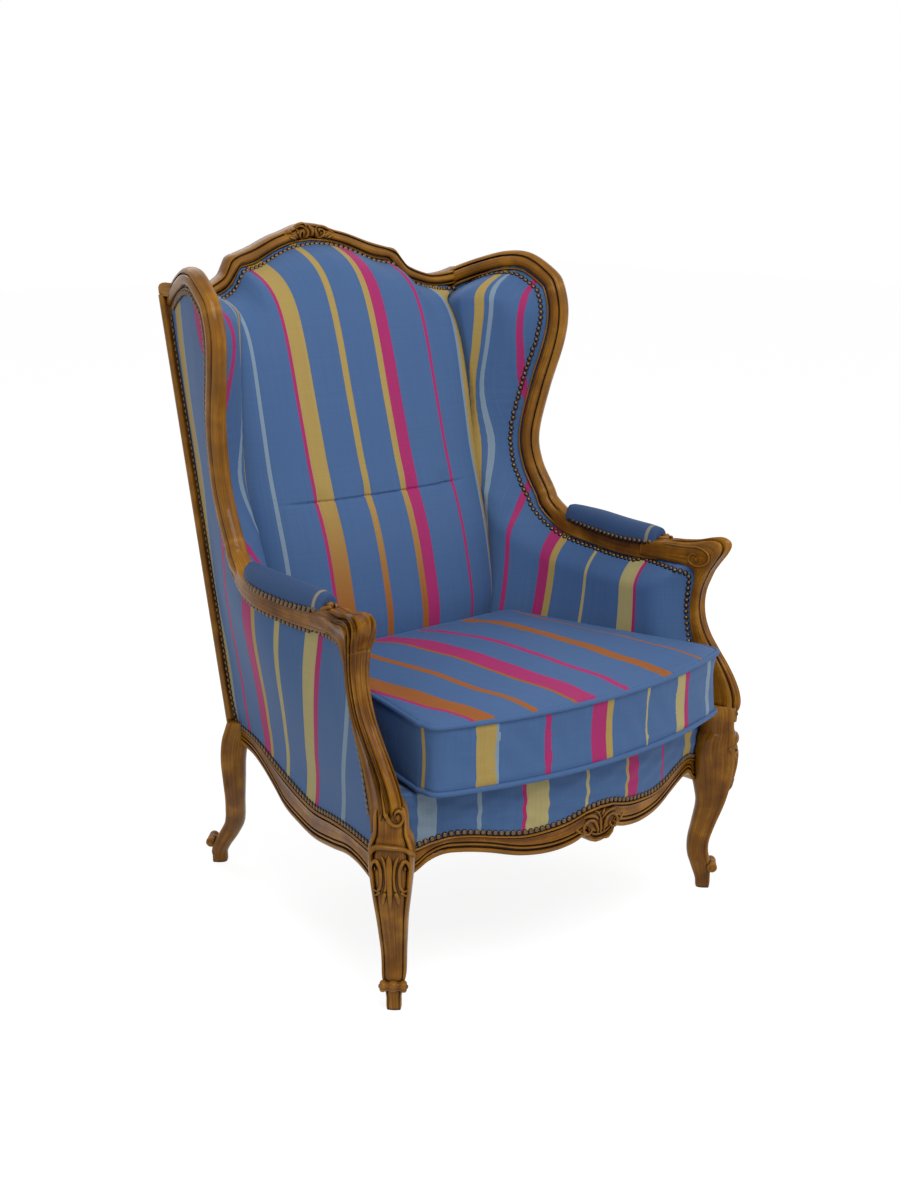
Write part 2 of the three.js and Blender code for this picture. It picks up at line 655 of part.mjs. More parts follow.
// Stays that the stuffing is drawn down to, hidden behind the covers
const back_stay_y = postAt(back_stay_z)[1];
function backStay(grow = 0) {
  const half_deep = stay_thick / 2 + grow;
  const half_high = stay_high / 2 + grow;
  return block(
    at(-post_x_top, back_stay_y - half_deep, back_stay_z - half_high),
    at(post_x_top, back_stay_y + half_deep, back_stay_z + half_high),
  );
}
const back_stay = mainBody(cut(backStay(), both(post_cutter)));
function sideStay(grow = 0) {
  const low = side_stay_z - stay_high / 2 - grow;
  const high = side_stay_z + stay_high / 2 + grow;
  return loft(steps(8).map((s) => {
    const y = lerp(supportY(side_stay_z), postAt(side_stay_z)[1], s);
    const outer = sideX(y, side_stay_z) + grow;
    const inner = outer - stay_thick / 2 - 2 * grow;
    return [at(outer, y, low), at(outer, y, high), at(inner, y, high), at(inner, y, low)];
  }));
}
const side_stay = mainBody(cut(sideStay(), [post_cutter, support_cutter]));

// Corner blocks glued inside the seat frame
function cornerBlock(corner, turn) {
  const low = web_z + gap;
  const outline = [at(0, 0, 0), at(-block_leg, 0, 0), at(0, block_leg * turn, 0)];
  return loft([low, rail_top_z].map((z) => outline.map((p) => corner.clone().add(p).setZ(z))));
}
const front_corner = at(front_foot_x - front_block_in, front_feet_y, 0);
const rear_corner = at(sideX(rear_rail_y, rail_face_z) + rear_block_out, rear_rail_y, 0);
const front_block = mainBody(cut(
  cornerBlock(front_corner, 1), [front_rail_cutter, side_rail_cutter, leg_cutter],
));
const rear_block = mainBody(cut(
  cornerBlock(rear_corner, -1), [rear_rail_cutter, side_rail_cutter, post_cutter],
));

// Webbing under the springs, its straps woven as one grid between the rails
const rail_inner_back = -front_rail_bow + rail_thick;
const innerHalf = (y) => sideFaceX(y) - rail_thick - gap;
const web_half = web_wide / 2;
function flatStrap(outline, low, high) {
  return loft([low, high].map((z) => outline.map(([x, y]) => at(x, y, z))));
}
// A strap along the seat lies the weave's step under the straps across it
function longStrap(x) {
  const near = fromFeet(rail_inner_back - rail_thick / 2);
  const far = rear_rail_y;
  const outline = [
    [x - web_half, near], [x + web_half, near], [x + web_half, far], [x - web_half, far],
  ];
  return flatStrap(outline, web_z - web_thick, web_z - web_weave);
}
function crossStrap(back) {
  const near = fromFeet(back - web_half);
  const far = fromFeet(back + web_half);
  const near_half = innerHalf(near);
  const far_half = innerHalf(far);
  const outline = [[-near_half, near], [near_half, near], [far_half, far], [-far_half, far]];
  return flatStrap(outline, web_z - web_thick + web_weave, web_z);
}
const strap_columns = [-1, 0, 1];
const seat_webbing = mainBody(cut(join([
  ...strap_columns.map((column) => longStrap(column * web_pitch_x)),
  ...strap_columns.map((row) => crossStrap(web_first_back + (row + 1) * web_pitch_y)),
]), [front_rail_cutter, rear_rail_cutter, ...both(side_rail_cutter)]));

// A coil spring standing on the webbing under the deck, drawn in at its waist
const spring_waist_share = 0.25;
function coilSpring(x, back) {
  const turns_low = web_z + gap + spring_wire_r;
  const turns_high = rail_top_z - gap - spring_wire_r;
  const centre = at(x, fromFeet(back), 0);
  const points = steps(spring_turns * spring_steps).map((s) => {
    const angle = s * spring_turns * 2 * Math.PI;
    const r = spring_r * (1 - spring_waist_share * Math.sin(Math.PI * s));
    return centre.clone().add(at(r * Math.cos(angle), r * Math.sin(angle), lerp(turns_low, turns_high, s)));
  });
  return sweep(points, at(0, 0, 1), () => [spring_wire_r, spring_wire_r], wire_shares);
}

// Webbing across the back, behind the stuffing, woven as one grid
const back_web_shares = [0.2, 0.5, 0.8];
const backWebZ = (share) => lerp(back_stay_z, shoulder_z, share);
const webY = (z) => postAt(z)[1] + web_thick;
function backStrap(ends, grow) {
  const half = () => [web_half, web_thick / 2];
  return sweep(ends.map(([x, z]) => at(x, webY(z), z)), at(0, 1, 0), half, strap_shares, grow);
}
function backWebbing(grow = 0) {
  const rows_z = back_web_shares.map(backWebZ);
  const ends_z = [rows_z[0], rows_z[rows_z.length - 1]];
  return join([
    ...rows_z.map((z) => backStrap([[-post_x_top, z], [post_x_top, z]], grow)),
    ...[-web_pitch_x, web_pitch_x].map((x) => backStrap(ends_z.map((z) => [x, z]), grow)),
  ]);
}
const back_webbing = mainBody(cut(backWebbing(), both(post_cutter)));
const back_web_cutter = backWebbing(gap);

// The cloth under the seat
const cloth_z = web_z - web_thick - gap;
const bottom_cloth = mainBody(cut(
  loft(steps(12).map((s) => {
    const y = lerp(fromFeet(rail_inner_back), rear_rail_y - rear_rail_thick / 2 - gap, s);
    const half = innerHalf(y);
    const low = cloth_z - cloth_thick;
    return [at(-half, y, low), at(half, y, low), at(half, y, cloth_z), at(-half, y, cloth_z)];
  })),
  [front_rail_cutter, ...mirroredAll([leg_cutter, post_cutter])],
));

// Stuffed inside of each wing and arm, and the covered panel outside it
const wood_cutters = [
  crest_cutter, post_cutter, leg_cutter, arm_cutter, support_cutter, wing_top_cutter,
  wing_post_cutter, side_rail_cutter, front_rail_cutter,
];
const side_pad = mainBody(cut(
  sidePadBlank(), [...wood_cutters, sideStay(gap), backStay(gap), back_web_cutter],
));
const side_pad_cutter = sidePadBlank(gap);
const side_panel = mainBody(cut(sidePanelBlank(), wood_cutters));

// Seat deck: a firm pad on the rails whose front border comes down to the front moulding
const deck_rear_y = fromFeet(deck_back);
const border_swell_share = 0.45;
function deckSection(x) {
  const face = frontFaceY(x);
  const low = front_high(Math.abs(x) / front_rail_half) + gap;
  const under = rail_top_z + gap;
  const inside = face + rail_rebate - gap;
  return [
    [face + rail_ease, low], [face + rail_ease / 2, lerp(low, deck_top_z, border_swell_share)],
    [face + rail_ease, deck_top_z - 2 * rail_ease], [face + 3 * rail_ease, deck_top_z - deck_crown],
    [face + 2 * rail_thick, deck_top_z], [deck_rear_y, deck_top_z], [deck_rear_y, under],
    [inside, under], [inside, low],
  ].map(([y, z]) => at(x, y, z));
}
function frontStrip(grow = 0) {
  return loft(front_runs.map((x) => {
    const low = front_high(Math.abs(x) / front_rail_half) + gap - grow;
    const high = low + 2 * (nail_strip_half + grow);
    const face = frontFaceY(x) + rail_ease - nail_strip_thick - grow;
    const inside = face + 2 * (nail_strip_thick + grow);
    return [at(x, face, low), at(x, face, high), at(x, inside, high), at(x, inside, low)];
  }));
}
const deck_tools = mirroredAll([
  side_pad_cutter, leg_cutter, support_cutter, post_cutter, side_rail_cutter,
]);
const front_strip = mainBody(cut(frontStrip(), deck_tools));
const seat_deck = mainBody(cut(loft(front_runs.map(deckSection)), [...deck_tools, frontStrip(gap)]));

// How far the back's covers run up behind the crest's lower edge
const tuck_share = 0.3;
function tuckZ(x) {
  const run_share = Math.abs(x) / crest_half;
  return lerp(crest_low(run_share), crest_top(run_share), tuck_share);
}

// Covered panel at the back of the chair
function panelRearY(x, z) {
  return postAt(z)[1] + lerp(post_half_y, crestRearOff(x), ease(rail_top_z, height, z)) - panel_recess;
}
function backPanelBlank() {
  return loft(steps(16).map((s) => {
    const x = lerp(-post_x_top, post_x_top, s);
    const zs = steps(5).map((up) => lerp(rail_top_z + gap, tuckZ(x), up));
    return [
      ...zs.map((z) => at(x, panelRearY(x, z), z)),
      ...zs.reverse().map((z) => at(x, panelRearY(x, z) - panel_thick, z)),
    ];
  }));
}
const back_panel = mainBody(cut(backPanelBlank(), [crest_cutter, rear_rail_cutter, ...both(post_cutter)]));

// Stuffed back: columns from the deck to the crest, with one sewn line across
const pad_bottom_z = deck_top_z + gap;
const back_low_shares = [0, 0.31, 0.62, 0.88];
const back_high_shares = [0.15, 0.35, 0.6, 0.82, 0.94, 1];
function backFrontY(x, z, top) {
  const below = clamp((crest_low(Math.abs(x) / crest_half) - z) / back_roll, 0, 1);
  const seam = back_seam_deep * Math.max(0, 1 - Math.abs(z - back_seam_z) / back_seam_half);
  const crest_y = crestFrontY(x, top) + back_pad_crest_sink;
  return lerp(backFaceY(x, z), crest_y, (1 - below) ** 2.2) + seam;
}
const back_seam_levels = [back_seam_z - back_seam_half, back_seam_z, back_seam_z + back_seam_half];
function backLevels(top) {
  const lower = back_low_shares.map((share) => lerp(pad_bottom_z, back_seam_z, share));
  const upper = back_high_shares.map((share) => lerp(back_seam_z + back_seam_half, top, share));
  return [...lower, ...back_seam_levels, ...upper];
}
function backRearY(x, z, top) {
  const webs_y = webY(z) - 2 * web_thick - gap;
  const inside_panel = panelRearY(x, z) - panel_thick - cover_air;
  return Math.min(Math.max(webs_y, backFrontY(x, z, top) + back_pad_thin), inside_panel);
}
const back_column_shares = [-1, -0.85, -0.7, -0.6, -0.52, -0.4, -0.2, 0];
function backPadBlank() {
  return loft(acrossBoth(back_column_shares).map((run) => {
    const x = run * post_x_top;
    const top = tuckZ(x);
    const rear_levels = steps(2).reverse().map((share) => lerp(pad_bottom_z, top, share));
    return [
      ...backLevels(top).map((z) => at(x, backFrontY(x, z, top), z)),
      ...rear_levels.map((z) => at(x, backRearY(x, z, top), z)),
    ];
  }));
}
const back_pad = mainBody(cut(backPadBlank(), [
  crest_cutter, backStay(gap), back_web_cutter,
  ...mirroredAll([side_pad_cutter, post_cutter, wing_top_cutter]),
]));

// Loose seat cushion: its outline, then rings from the underside over the crown
const cushion_rear_y = fromFeet(back_seat_back - cushion_clear);
const cushion_rear_half = padInnerX(cushion_rear_y, cushion_low_z) - cushion_clear;
const cushion_corner_y = fromFeet(cushion_corner_back);
const cushion_middle = new THREE.Vector2(0, (cushion_corner_y + cushion_rear_y) / 2);
const cushion_run_shares = [0.25, 0.5, 0.75];
function cushionOutline() {
  const r = cushion_corner_round;
  const near = cushion_corner_y + r;
  const far = cushion_rear_y - r;
  const front_x = cushion_front_half - r;
  const rear_x = cushion_rear_half - r;
  const lean = (cushion_front_half - cushion_rear_half) / (cushion_rear_y - cushion_corner_y);
  const nose = (x) => cushion_corner_y - cushion_nose * (1 - (x / cushion_front_half) ** 2);
  const sideRun = (s) => (
    lerp(cushion_front_half, cushion_rear_half, s) - cushion_pull_in * Math.sin(Math.PI * s)
  );
  const shape = new THREE.Shape();
  shape.moveTo(-front_x, nose(front_x));
  for (const s of steps(8).slice(1)) {
    const x = lerp(-front_x, front_x, s);
    shape.lineTo(x, nose(x));
  }
  shape.quadraticCurveTo(cushion_front_half, cushion_corner_y, cushion_front_half - lean * r, near);
  for (const s of cushion_run_shares) shape.lineTo(sideRun(s), lerp(near, far, s));
  shape.lineTo(cushion_rear_half + lean * r, far);
  shape.quadraticCurveTo(cushion_rear_half, cushion_rear_y, rear_x, cushion_rear_y);
  for (const s of cushion_run_shares) shape.lineTo(lerp(rear_x, -rear_x, s), cushion_rear_y);
  shape.lineTo(-rear_x, cushion_rear_y);
  shape.quadraticCurveTo(-cushion_rear_half, cushion_rear_y, -cushion_rear_half - lean * r, far);
  for (const s of cushion_run_shares) shape.lineTo(-sideRun(1 - s), lerp(far, near, s));
  shape.lineTo(lean * r - cushion_front_half, near);
  shape.quadraticCurveTo(-cushion_front_half, cushion_corner_y, -front_x, nose(front_x));
  return shape.getPoints(2).filter((p, i, all) => p.distanceTo(all[(i + 1) % all.length]) > outline_least);
}
const cushion_outline = cushionOutline();
function cushionRing(share, z, inset = 0) {
  return cushion_outline.map((point) => {
    const out = point.clone().sub(cushion_middle);
    const placed = out.multiplyScalar(share * (1 - inset / out.length())).add(cushion_middle);
    return at(placed.x, placed.y, z);
  });
}
const welt_sides = 5;
function weltTube(z, grow = 0) {
  const angles = steps(welt_sides).slice(1).map((s) => s * 2 * Math.PI);
  return loft(cushionRing(1, z, welt_r).map((point) => {
    const out = at(point.x - cushion_middle.x, point.y - cushion_middle.y, 0).normalize();
    return angles.map((angle) => point.clone()
      .addScaledVector(out, (welt_r + grow) * Math.cos(angle))
      .add(at(0, 0, (welt_r + grow) * Math.sin(angle))));
  }), true);
}
const underside_share = 0.9;
const boxing_shares = [0.3, 0.7];
const crown_shares = [0.96, 0.88, 0.74, 0.55, 0.32, 0.12];
const crownZ = (share) => cushion_welt_high_z + welt_r + cushion_crown * (1 - share ** 2.4);
const cushion = mainBody(cut(loft([
  cushionRing(underside_share, cushion_low_z),
  cushionRing(1, cushion_low_z + boxing_draw, cushion_edge_in),
  cushionRing(1, cushion_welt_low_z, welt_r),
  ...boxing_shares.map((share) => (
    cushionRing(1, lerp(cushion_welt_low_z, cushion_welt_high_z, share), 2 * boxing_draw)
  )),
  cushionRing(1, cushion_welt_high_z, welt_r),
  ...crown_shares.map((share) => cushionRing(share, crownZ(share))),
]), [weltTube(cushion_welt_low_z, gap), weltTube(cushion_welt_high_z, gap)]));

// Arm pads sit on the arm rails: sections [across, up], swelling from a rounded end to the middle
const arm_pad_section_shares = [
  [-0.94, 0], [-1, 0.35], [-0.82, 0.75], [-0.42, 0.97], [0.42, 0.97], [0.82, 0.75], [1, 0.35], [0.94, 0],
];
const arm_pad_end_share = 0.04;
const arm_pad_least_share = 0.55;
const arm_pad_seat_share = 0.6;
const armZ = graph([...arm_line].reverse().map((p) => [p.y, p.z]));
function armPadRing(s) {
  const y = lerp(fromFeet(arm_pad_start), fromFeet(arm_pad_end), s);
  const along = clamp(s, arm_pad_end_share, 1 - arm_pad_end_share);
  const swell = lerp(arm_pad_least_share, 1, Math.sqrt(Math.sin(Math.PI * along)));
  const base = armZ(y) + wood_half_across * arm_pad_seat_share;
  const tall = wood_half_across * (1 - arm_pad_seat_share) + arm_pad_high * swell;
  return arm_pad_section_shares.map(([a, up]) => (
    at(sideX(y, arm_z) + a * arm_pad_half * swell, y, base + up * tall)
  ));
}
const arm_pad = mainBody(cut(loft(steps(12).map(armPadRing)), [arm_cutter, wing_post_cutter]));

// The chair, piece by piece
const chair = new THREE.Group();
function place(name, solid, material) {
  const found = solid.getMesh();
  const geometry = new THREE.BufferGeometry();
  const places = new THREE.BufferAttribute(new Float32Array(found.vertProperties), found.numProp);
  geometry.setAttribute('position', places);
  geometry.setIndex([...found.triVerts]);
  geometry.computeVertexNormals();
  const mesh = new THREE.Mesh(geometry, material);
  mesh.name = name;
  chair.add(mesh);
}
function placePair(name, solid, material) {
  place(`${name}_right`, solid, material);
  place(`${name}_left`, mirrored(solid), material);
}

placePair('front_leg', front_leg_solid, colours.walnut);
placePair('rear_post', rear_post, colours.walnut);
place('front_rail', front_rail, colours.walnut);
placePair('side_rail', side_rail, colours.walnut);
place('rear_rail', rear_rail, colours.walnut);
place('crest_rail', crest_rail, colours.walnut);
placePair('wing_top', wing_top, colours.walnut);
placePair('wing_post', wing_post, colours.walnut);
placePair('arm', arm, colours.walnut);
placePair('arm_support', arm_support, colours.walnut);
place('back_stay', back_stay, colours.beech);
placePair('side_stay', side_stay, colours.beech);
placePair('front_corner_block', front_block, colours.beech);
placePair('rear_corner_block', rear_block, colours.beech);
place('seat_webbing', seat_webbing, colours.webbing);
place('back_webbing', back_webbing, colours.webbing);
for (const column of strap_columns) {
  for (const row of strap_columns) {
    const spring = coilSpring(column * web_pitch_x, web_first_back + (row + 1) * web_pitch_y);
    place(`seat_spring_${column + 2}_${row + 2}`, spring, colours.spring_steel);
  }
}
place('bottom_cloth', bottom_cloth, colours.bottom_cloth);
placePair('side_panel', side_panel, colours.blue_stripe);
placePair('side_pad', side_pad, colours.blue_stripe);
place('seat_deck', seat_deck, colours.blue_stripe);
place('back_pad', back_pad, colours.blue_stripe);
place('back_panel', back_panel, colours.blue_stripe);
placePair('arm_pad', arm_pad, colours.arm_cover);
place('front_nail_strip', front_strip, colours.nails);
place('seat_cushion', cushion, colours.blue_stripe);
place('cushion_welt_low', weltTube(cushion_welt_low_z), colours.blue_stripe);
place('cushion_welt_high', weltTube(cushion_welt_high_z), colours.blue_stripe);

export default chair;
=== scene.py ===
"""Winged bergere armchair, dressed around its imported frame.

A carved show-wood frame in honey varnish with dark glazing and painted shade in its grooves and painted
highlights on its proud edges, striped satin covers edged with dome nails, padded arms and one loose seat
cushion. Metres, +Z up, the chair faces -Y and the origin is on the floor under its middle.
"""
from __future__ import annotations

import json
import logging
import math
from dataclasses import dataclass, field
from enum import Enum
from typing import Callable, Iterable, Sequence

import bmesh
import bpy
import numpy as np
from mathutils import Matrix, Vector
from mathutils.bvhtree import BVHTree

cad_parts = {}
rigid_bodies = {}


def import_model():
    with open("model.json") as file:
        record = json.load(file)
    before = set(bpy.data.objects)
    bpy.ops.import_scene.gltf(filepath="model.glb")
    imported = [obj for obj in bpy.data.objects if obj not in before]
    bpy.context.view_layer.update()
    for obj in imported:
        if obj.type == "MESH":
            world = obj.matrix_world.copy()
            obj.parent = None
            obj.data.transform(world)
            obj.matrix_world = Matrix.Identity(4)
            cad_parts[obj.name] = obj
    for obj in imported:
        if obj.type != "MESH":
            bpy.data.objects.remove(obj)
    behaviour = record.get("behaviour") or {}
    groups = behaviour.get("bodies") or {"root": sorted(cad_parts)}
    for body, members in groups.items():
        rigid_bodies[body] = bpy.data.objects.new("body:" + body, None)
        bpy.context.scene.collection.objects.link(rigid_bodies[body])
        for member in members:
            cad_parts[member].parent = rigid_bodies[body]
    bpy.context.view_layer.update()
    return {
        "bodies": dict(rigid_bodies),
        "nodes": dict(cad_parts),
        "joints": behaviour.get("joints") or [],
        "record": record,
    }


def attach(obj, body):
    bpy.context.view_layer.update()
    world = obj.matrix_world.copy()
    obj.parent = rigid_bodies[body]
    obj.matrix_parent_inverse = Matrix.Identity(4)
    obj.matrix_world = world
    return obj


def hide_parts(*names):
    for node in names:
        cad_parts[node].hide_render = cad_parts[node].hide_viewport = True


LOG = logging.getLogger("bergere")
BODY = "frame"
CUSHION_BODY = "cushion"
UV_NAME = "run"
ACROSS = np.array([1.0, 0, 0])
AHEAD = np.array([0, -1.0, 0])
UP = np.array([0, 0, 1.0])
BACK_NORMAL = np.array([[0, 0.99, -0.13]])
FRONT_CORNER = np.array([math.cos(math.pi / 4), -math.sin(math.pi / 4), 0])
REAR_CORNER = np.array([math.sin(math.pi / 4), math.cos(math.pi / 4), 0])
SLOPE_STEP = 0.002
CRISP_DEGREES = 55
SIDE_COLUMNS = 64
CLOTH_QUALITY = 4
CLOTH_FRAMES = 20
NEAREST_BATCH = 4096
SQUARED = 0.55
SEEN_RAYS = ("Camera", "Glossy", "Transmission")

Array = np.ndarray
Surface = Callable[[Array, Array], Array]
Colour = tuple[float, float, float, float]
Material = bpy.types.Material
Mesh = bpy.types.Mesh
Node = bpy.types.Node
Piece = bpy.types.Object
Socket = bpy.types.NodeSocket
Tree = bpy.types.NodeTree


class Side(Enum):
    """A side of the chair, by the sign of its x."""

    RIGHT = 1
    LEFT = -1

    @property
    def word(self) -> str:
        """The word that ends the names of this side's pieces."""
        return self.name.lower()

    @property
    def flip(self) -> Array:
        """What a point drawn for the right is multiplied by to lie on this side."""
        return np.array([self.value, 1, 1])


# Curves and meshes


class Graph:
    """A smooth curve of value against place, with straight runs past its ends."""

    def __init__(self, rows: Sequence[Sequence[float]]) -> None:
        """Args:
            rows: pairs of place and value, with places rising.
        """
        self.places, self.values = np.array(rows, float).T
        slopes = np.diff(self.values) / np.diff(self.places)
        self.tangents = np.concatenate([slopes[:1], (slopes[:-1] + slopes[1:]) / 2, slopes[-1:]])

    def __call__(self, place: Array | float) -> Array:
        """The curve's value at a place or an array of places.

        Args:
            place: where the value is wanted.

        Returns:
            The value at each place.
        """
        where = np.asarray(place, float)
        inside = np.clip(where, self.places[0], self.places[-1])
        i = np.clip(np.searchsorted(self.places, inside, side="right") - 1, 0, len(self.places) - 2)
        wide = self.places[i + 1] - self.places[i]
        t = (inside - self.places[i]) / wide
        keep = (1 + 2 * t) * (1 - t) ** 2
        leave = t * (1 - t) ** 2 * wide * self.tangents[i]
        arrive = t**2 * (t - 1) * wide * self.tangents[i + 1]
        value = keep * self.values[i] + leave + (1 - keep) * self.values[i + 1] + arrive
        before = np.minimum(where - self.places[0], 0) * self.tangents[0]
        after = np.maximum(where - self.places[-1], 0) * self.tangents[-1]
        return value + before + after


def drawn(*rows: tuple[float, float]) -> Graph:
    """A dataclass field that holds the graph through the rows."""
    return field(default_factory=lambda: Graph(rows))


def lerp(low: Array | float, high: Array | float, share: Array | float) -> Array | float:
    """The value at a share of the way from low to high."""
    return low + (high - low) * share


def ease(low: float, high: float, value: Array | float) -> Array:
    """A smooth step from 0 at low to 1 at high."""
    t = np.clip((np.asarray(value, float) - low) / (high - low), 0, 1)
    return t * t * (3 - 2 * t)


def smooth_line(knots: Array, params: Array) -> Array:
    """Points of the smooth curve through knots.

    Args:
        knots: the points that the curve passes through, one row each.
        params: places along it, one unit from each knot to the next.

    Returns:
        One row for each place.
    """
    knots = np.asarray(knots, float)
    first = 2 * knots[:1] - knots[1:2]
    last = 2 * knots[-1:] - knots[-2:-1]
    p = np.concatenate([first, knots, last])
    i = np.clip(np.floor(params).astype(int), 0, len(knots) - 2)
    t = (params - i)[:, None]
    a, b, c, d = p[i], p[i + 1], p[i + 2], p[i + 3]
    return 0.5 * (2 * b + (c - a) * t + (2 * a - 5 * b + 4 * c - d) * t**2 + (3 * b - a - 3 * c + d) * t**3)


def spaced(points: Array, count: int, measured: int | None = None) -> Array:
    """Points spread evenly along a line of points, ends included.

    Args:
        points: the line, one row for each point.
        count: how many to return.
        measured: how many of the columns give the length, if not all; the rest are carried along.

    Returns:
        One row for each point.
    """
    steps = np.linalg.norm(np.diff(points[:, :measured], axis=0), axis=1)
    lengths = np.concatenate([[0], np.cumsum(steps)])
    wanted = np.linspace(0, lengths[-1], count)
    return stacked(*(np.interp(wanted, lengths, column) for column in points.T))


def curve_through(knots: Sequence[Sequence[float]], count: int) -> Array:
    """Evenly spread points of the smooth curve through knots."""
    knots = np.asarray(knots, float)
    return spaced(smooth_line(knots, np.linspace(0, len(knots) - 1, 12 * len(knots))), count)


def steps(places: Sequence[float], counts: Sequence[int]) -> Array:
    """Values from each place to the next, as many as is counted for each run with both its ends."""
    runs = [np.linspace(low, high, count)[:-1] for low, high, count in zip(places, places[1:], counts)]
    return np.append(np.concatenate(runs), places[-1])


def bell(value: Array, width: Array | float) -> Array:
    """A bell curve, 1 where the value is 0 and falling away over the width."""
    return np.exp(-((value / width) ** 2))


def ripple(place: Array, pitch: float) -> Array:
    """A wave of the given pitch along a place."""
    return np.sin(place * 2 * math.pi / pitch)


def unit(vectors: Array) -> Array:
    """The vectors, each brought to length 1."""
    return vectors / np.maximum(np.linalg.norm(vectors, axis=-1, keepdims=True), 1e-9)


def stacked(*parts: Array | float) -> Array:
    """Points or pairs put together from their parts: grids, rows or plain numbers."""
    return np.stack(np.broadcast_arrays(*parts), axis=-1)


def slope_normals(surface: Surface, y: Array, z: Array) -> Array:
    """Directions square to a surface.

    Args:
        surface: gives the surface's x at y and z.
        y: places on it.
        z: their heights.

    Returns:
        One direction for each place, towards +X.
    """
    by_y = (surface(y + SLOPE_STEP, z) - surface(y - SLOPE_STEP, z)) / (2 * SLOPE_STEP)
    by_z = (surface(y, z + SLOPE_STEP) - surface(y, z - SLOPE_STEP)) / (2 * SLOPE_STEP)
    return unit(stacked(1.0, -by_y, -by_z))


@dataclass
class Patch:
    """A grid of points, with the lengths across and along it that its pattern follows.

    Attributes:
        points: rows by columns by 3.
        lengths: rows by columns by 2, with one column more if the rows are closed.
        closed: each row is a closed ring.
        capped: the first and last rings are filled.
    """

    points: Array
    lengths: Array | None = None
    closed: bool = False
    capped: bool = False

    def run_lengths(self) -> Array:
        """The stated lengths, or else lengths measured on the grid."""
        if self.lengths is not None:
            return self.lengths
        grid = np.concatenate([self.points, self.points[:, :1]], axis=1) if self.closed else self.points
        across = np.linalg.norm(np.diff(grid, axis=1), axis=2).mean(axis=0)
        along = np.linalg.norm(np.diff(grid, axis=0), axis=2).mean(axis=1)
        u = np.concatenate([[0], np.cumsum(across)])
        v = np.concatenate([[0], np.cumsum(along)])
        return stacked(u[None, :], v[:, None])

    def mirrored(self) -> Patch:
        """The same patch on the other side of the chair."""
        flipped = self.points[:, ::-1] * Side.LEFT.flip
        return Patch(flipped, self.run_lengths()[:, ::-1], self.closed, self.capped)

    def on(self, side: Side) -> Patch:
        """The patch on the given side of the chair, as it is drawn for the right."""
        return self if side is Side.RIGHT else self.mirrored()


def solid(points: Array) -> Patch:
    """A patch of closed rings with its first and last ring filled."""
    return Patch(points, closed=True, capped=True)


def add_object(name: str, data: bpy.types.ID) -> Piece:
    """Links a new object that holds the given data to the scene."""
    made = bpy.data.objects.new(name, data)
    bpy.context.scene.collection.objects.link(made)
    return made


def set_runs(mesh: Mesh, lengths: Array) -> None:
    """Stores the lengths that the pattern follows, one pair for each corner of each face."""
    layer = mesh.uv_layers.new(name=UV_NAME)
    layer.data.foreach_set("uv", lengths.astype(np.float32).ravel())


def build_mesh(name: str, patches: Iterable[Patch], material: Material) -> Piece:
    """One mesh object from several patches.

    Args:
        name: the piece's name.
        patches: the grids that it is made of.
        material: its finish.

    Returns:
        The linked object.
    """
    verts: list[Array] = []
    faces: list[tuple[int, ...]] = []
    runs: list[Array] = []
    start = 0
    for patch in patches:
        rows, cols = patch.points.shape[:2]
        verts.append(patch.points.reshape(-1, 3))
        run = patch.run_lengths()
        j = np.arange(cols if patch.closed else cols - 1)
        k = (j + 1) % cols
        for r in range(rows - 1):
            a, b = start + r * cols, start + (r + 1) * cols
            faces.extend(map(tuple, stacked(a + j, a + k, b + k, b + j).tolist()))
            corners = [run[r, j], run[r, j + 1], run[r + 1, j + 1], run[r + 1, j]]
            runs.append(np.stack(corners, axis=1).reshape(-1, 2))
        if patch.capped:
            for r, ring in ((0, range(cols)[::-1]), (rows - 1, range(cols))):
                faces.append(tuple(start + r * cols + c for c in ring))
                runs.append(run[r, list(ring)])
        start += rows * cols
    mesh = bpy.data.meshes.new(name)
    mesh.from_pydata(np.concatenate(verts).tolist(), [], faces)
    set_runs(mesh, np.concatenate(runs))
    mesh.materials.append(material)
    mesh.validate()
    mesh.shade_smooth()
    mesh.set_sharp_from_angle(angle=math.radians(CRISP_DEGREES))
    return add_object(name, mesh)


def face_outwards(piece: Piece) -> None:
    """Turns every face of a closed piece to look outwards.

    Args:
        piece: the piece, whose mesh is changed.
    """
    work = bmesh.new()
    work.from_mesh(piece.data)
    bmesh.ops.recalc_face_normals(work, faces=work.faces)
    work.to_mesh(piece.data)
    work.free()


def seat_piece(
    piece: Piece, nodes: Sequence[str] = (), body: str = BODY
) -> Piece:
    """Makes a piece ride on its body and stand for its nodes.

    Args:
        piece: the piece.
        nodes: the nodes that it stands for.
        body: the body that it rides on.

    Returns:
        The same piece.
    """
    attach(piece, body)
    if nodes:
        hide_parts(*nodes)
    LOG.info("%s: %d faces", piece.name, len(piece.data.polygons))
    return piece


def sweep(points: Array, face: Array, section: Array, scale: Array | None = None) -> Patch:
    """A section carried along a line.

    Args:
        points: the line's points.
        face: the direction that the section's depth lies in at each point.
        section: pairs of across and depth; across points to the left of the run.
        scale: pairs that the section is multiplied by, one for each point.

    Returns:
        The patch, a closed ring for each point, with both ends filled.
    """
    tangent = unit(np.gradient(points, axis=0))
    across = unit(np.cross(tangent, face))
    depth = np.cross(across, tangent)
    sections = np.broadcast_to(section, (len(points), *section.shape[-2:]))
    if scale is not None:
        sections = sections * scale[:, None, :]
    return solid(points[:, None] + sections[..., :1] * across[:, None] + sections[..., 1:] * depth[:, None])


# Finishes


def linear(code: str) -> Colour:
    """The linear colour of an sRGB hex code such as #9A5F26."""
    shares = [int(code[i : i + 2], 16) / 255 for i in (1, 3, 5)]
    return (*(s / 12.92 if s <= 0.04045 else ((s + 0.055) / 1.055) ** 2.4 for s in shares), 1.0)


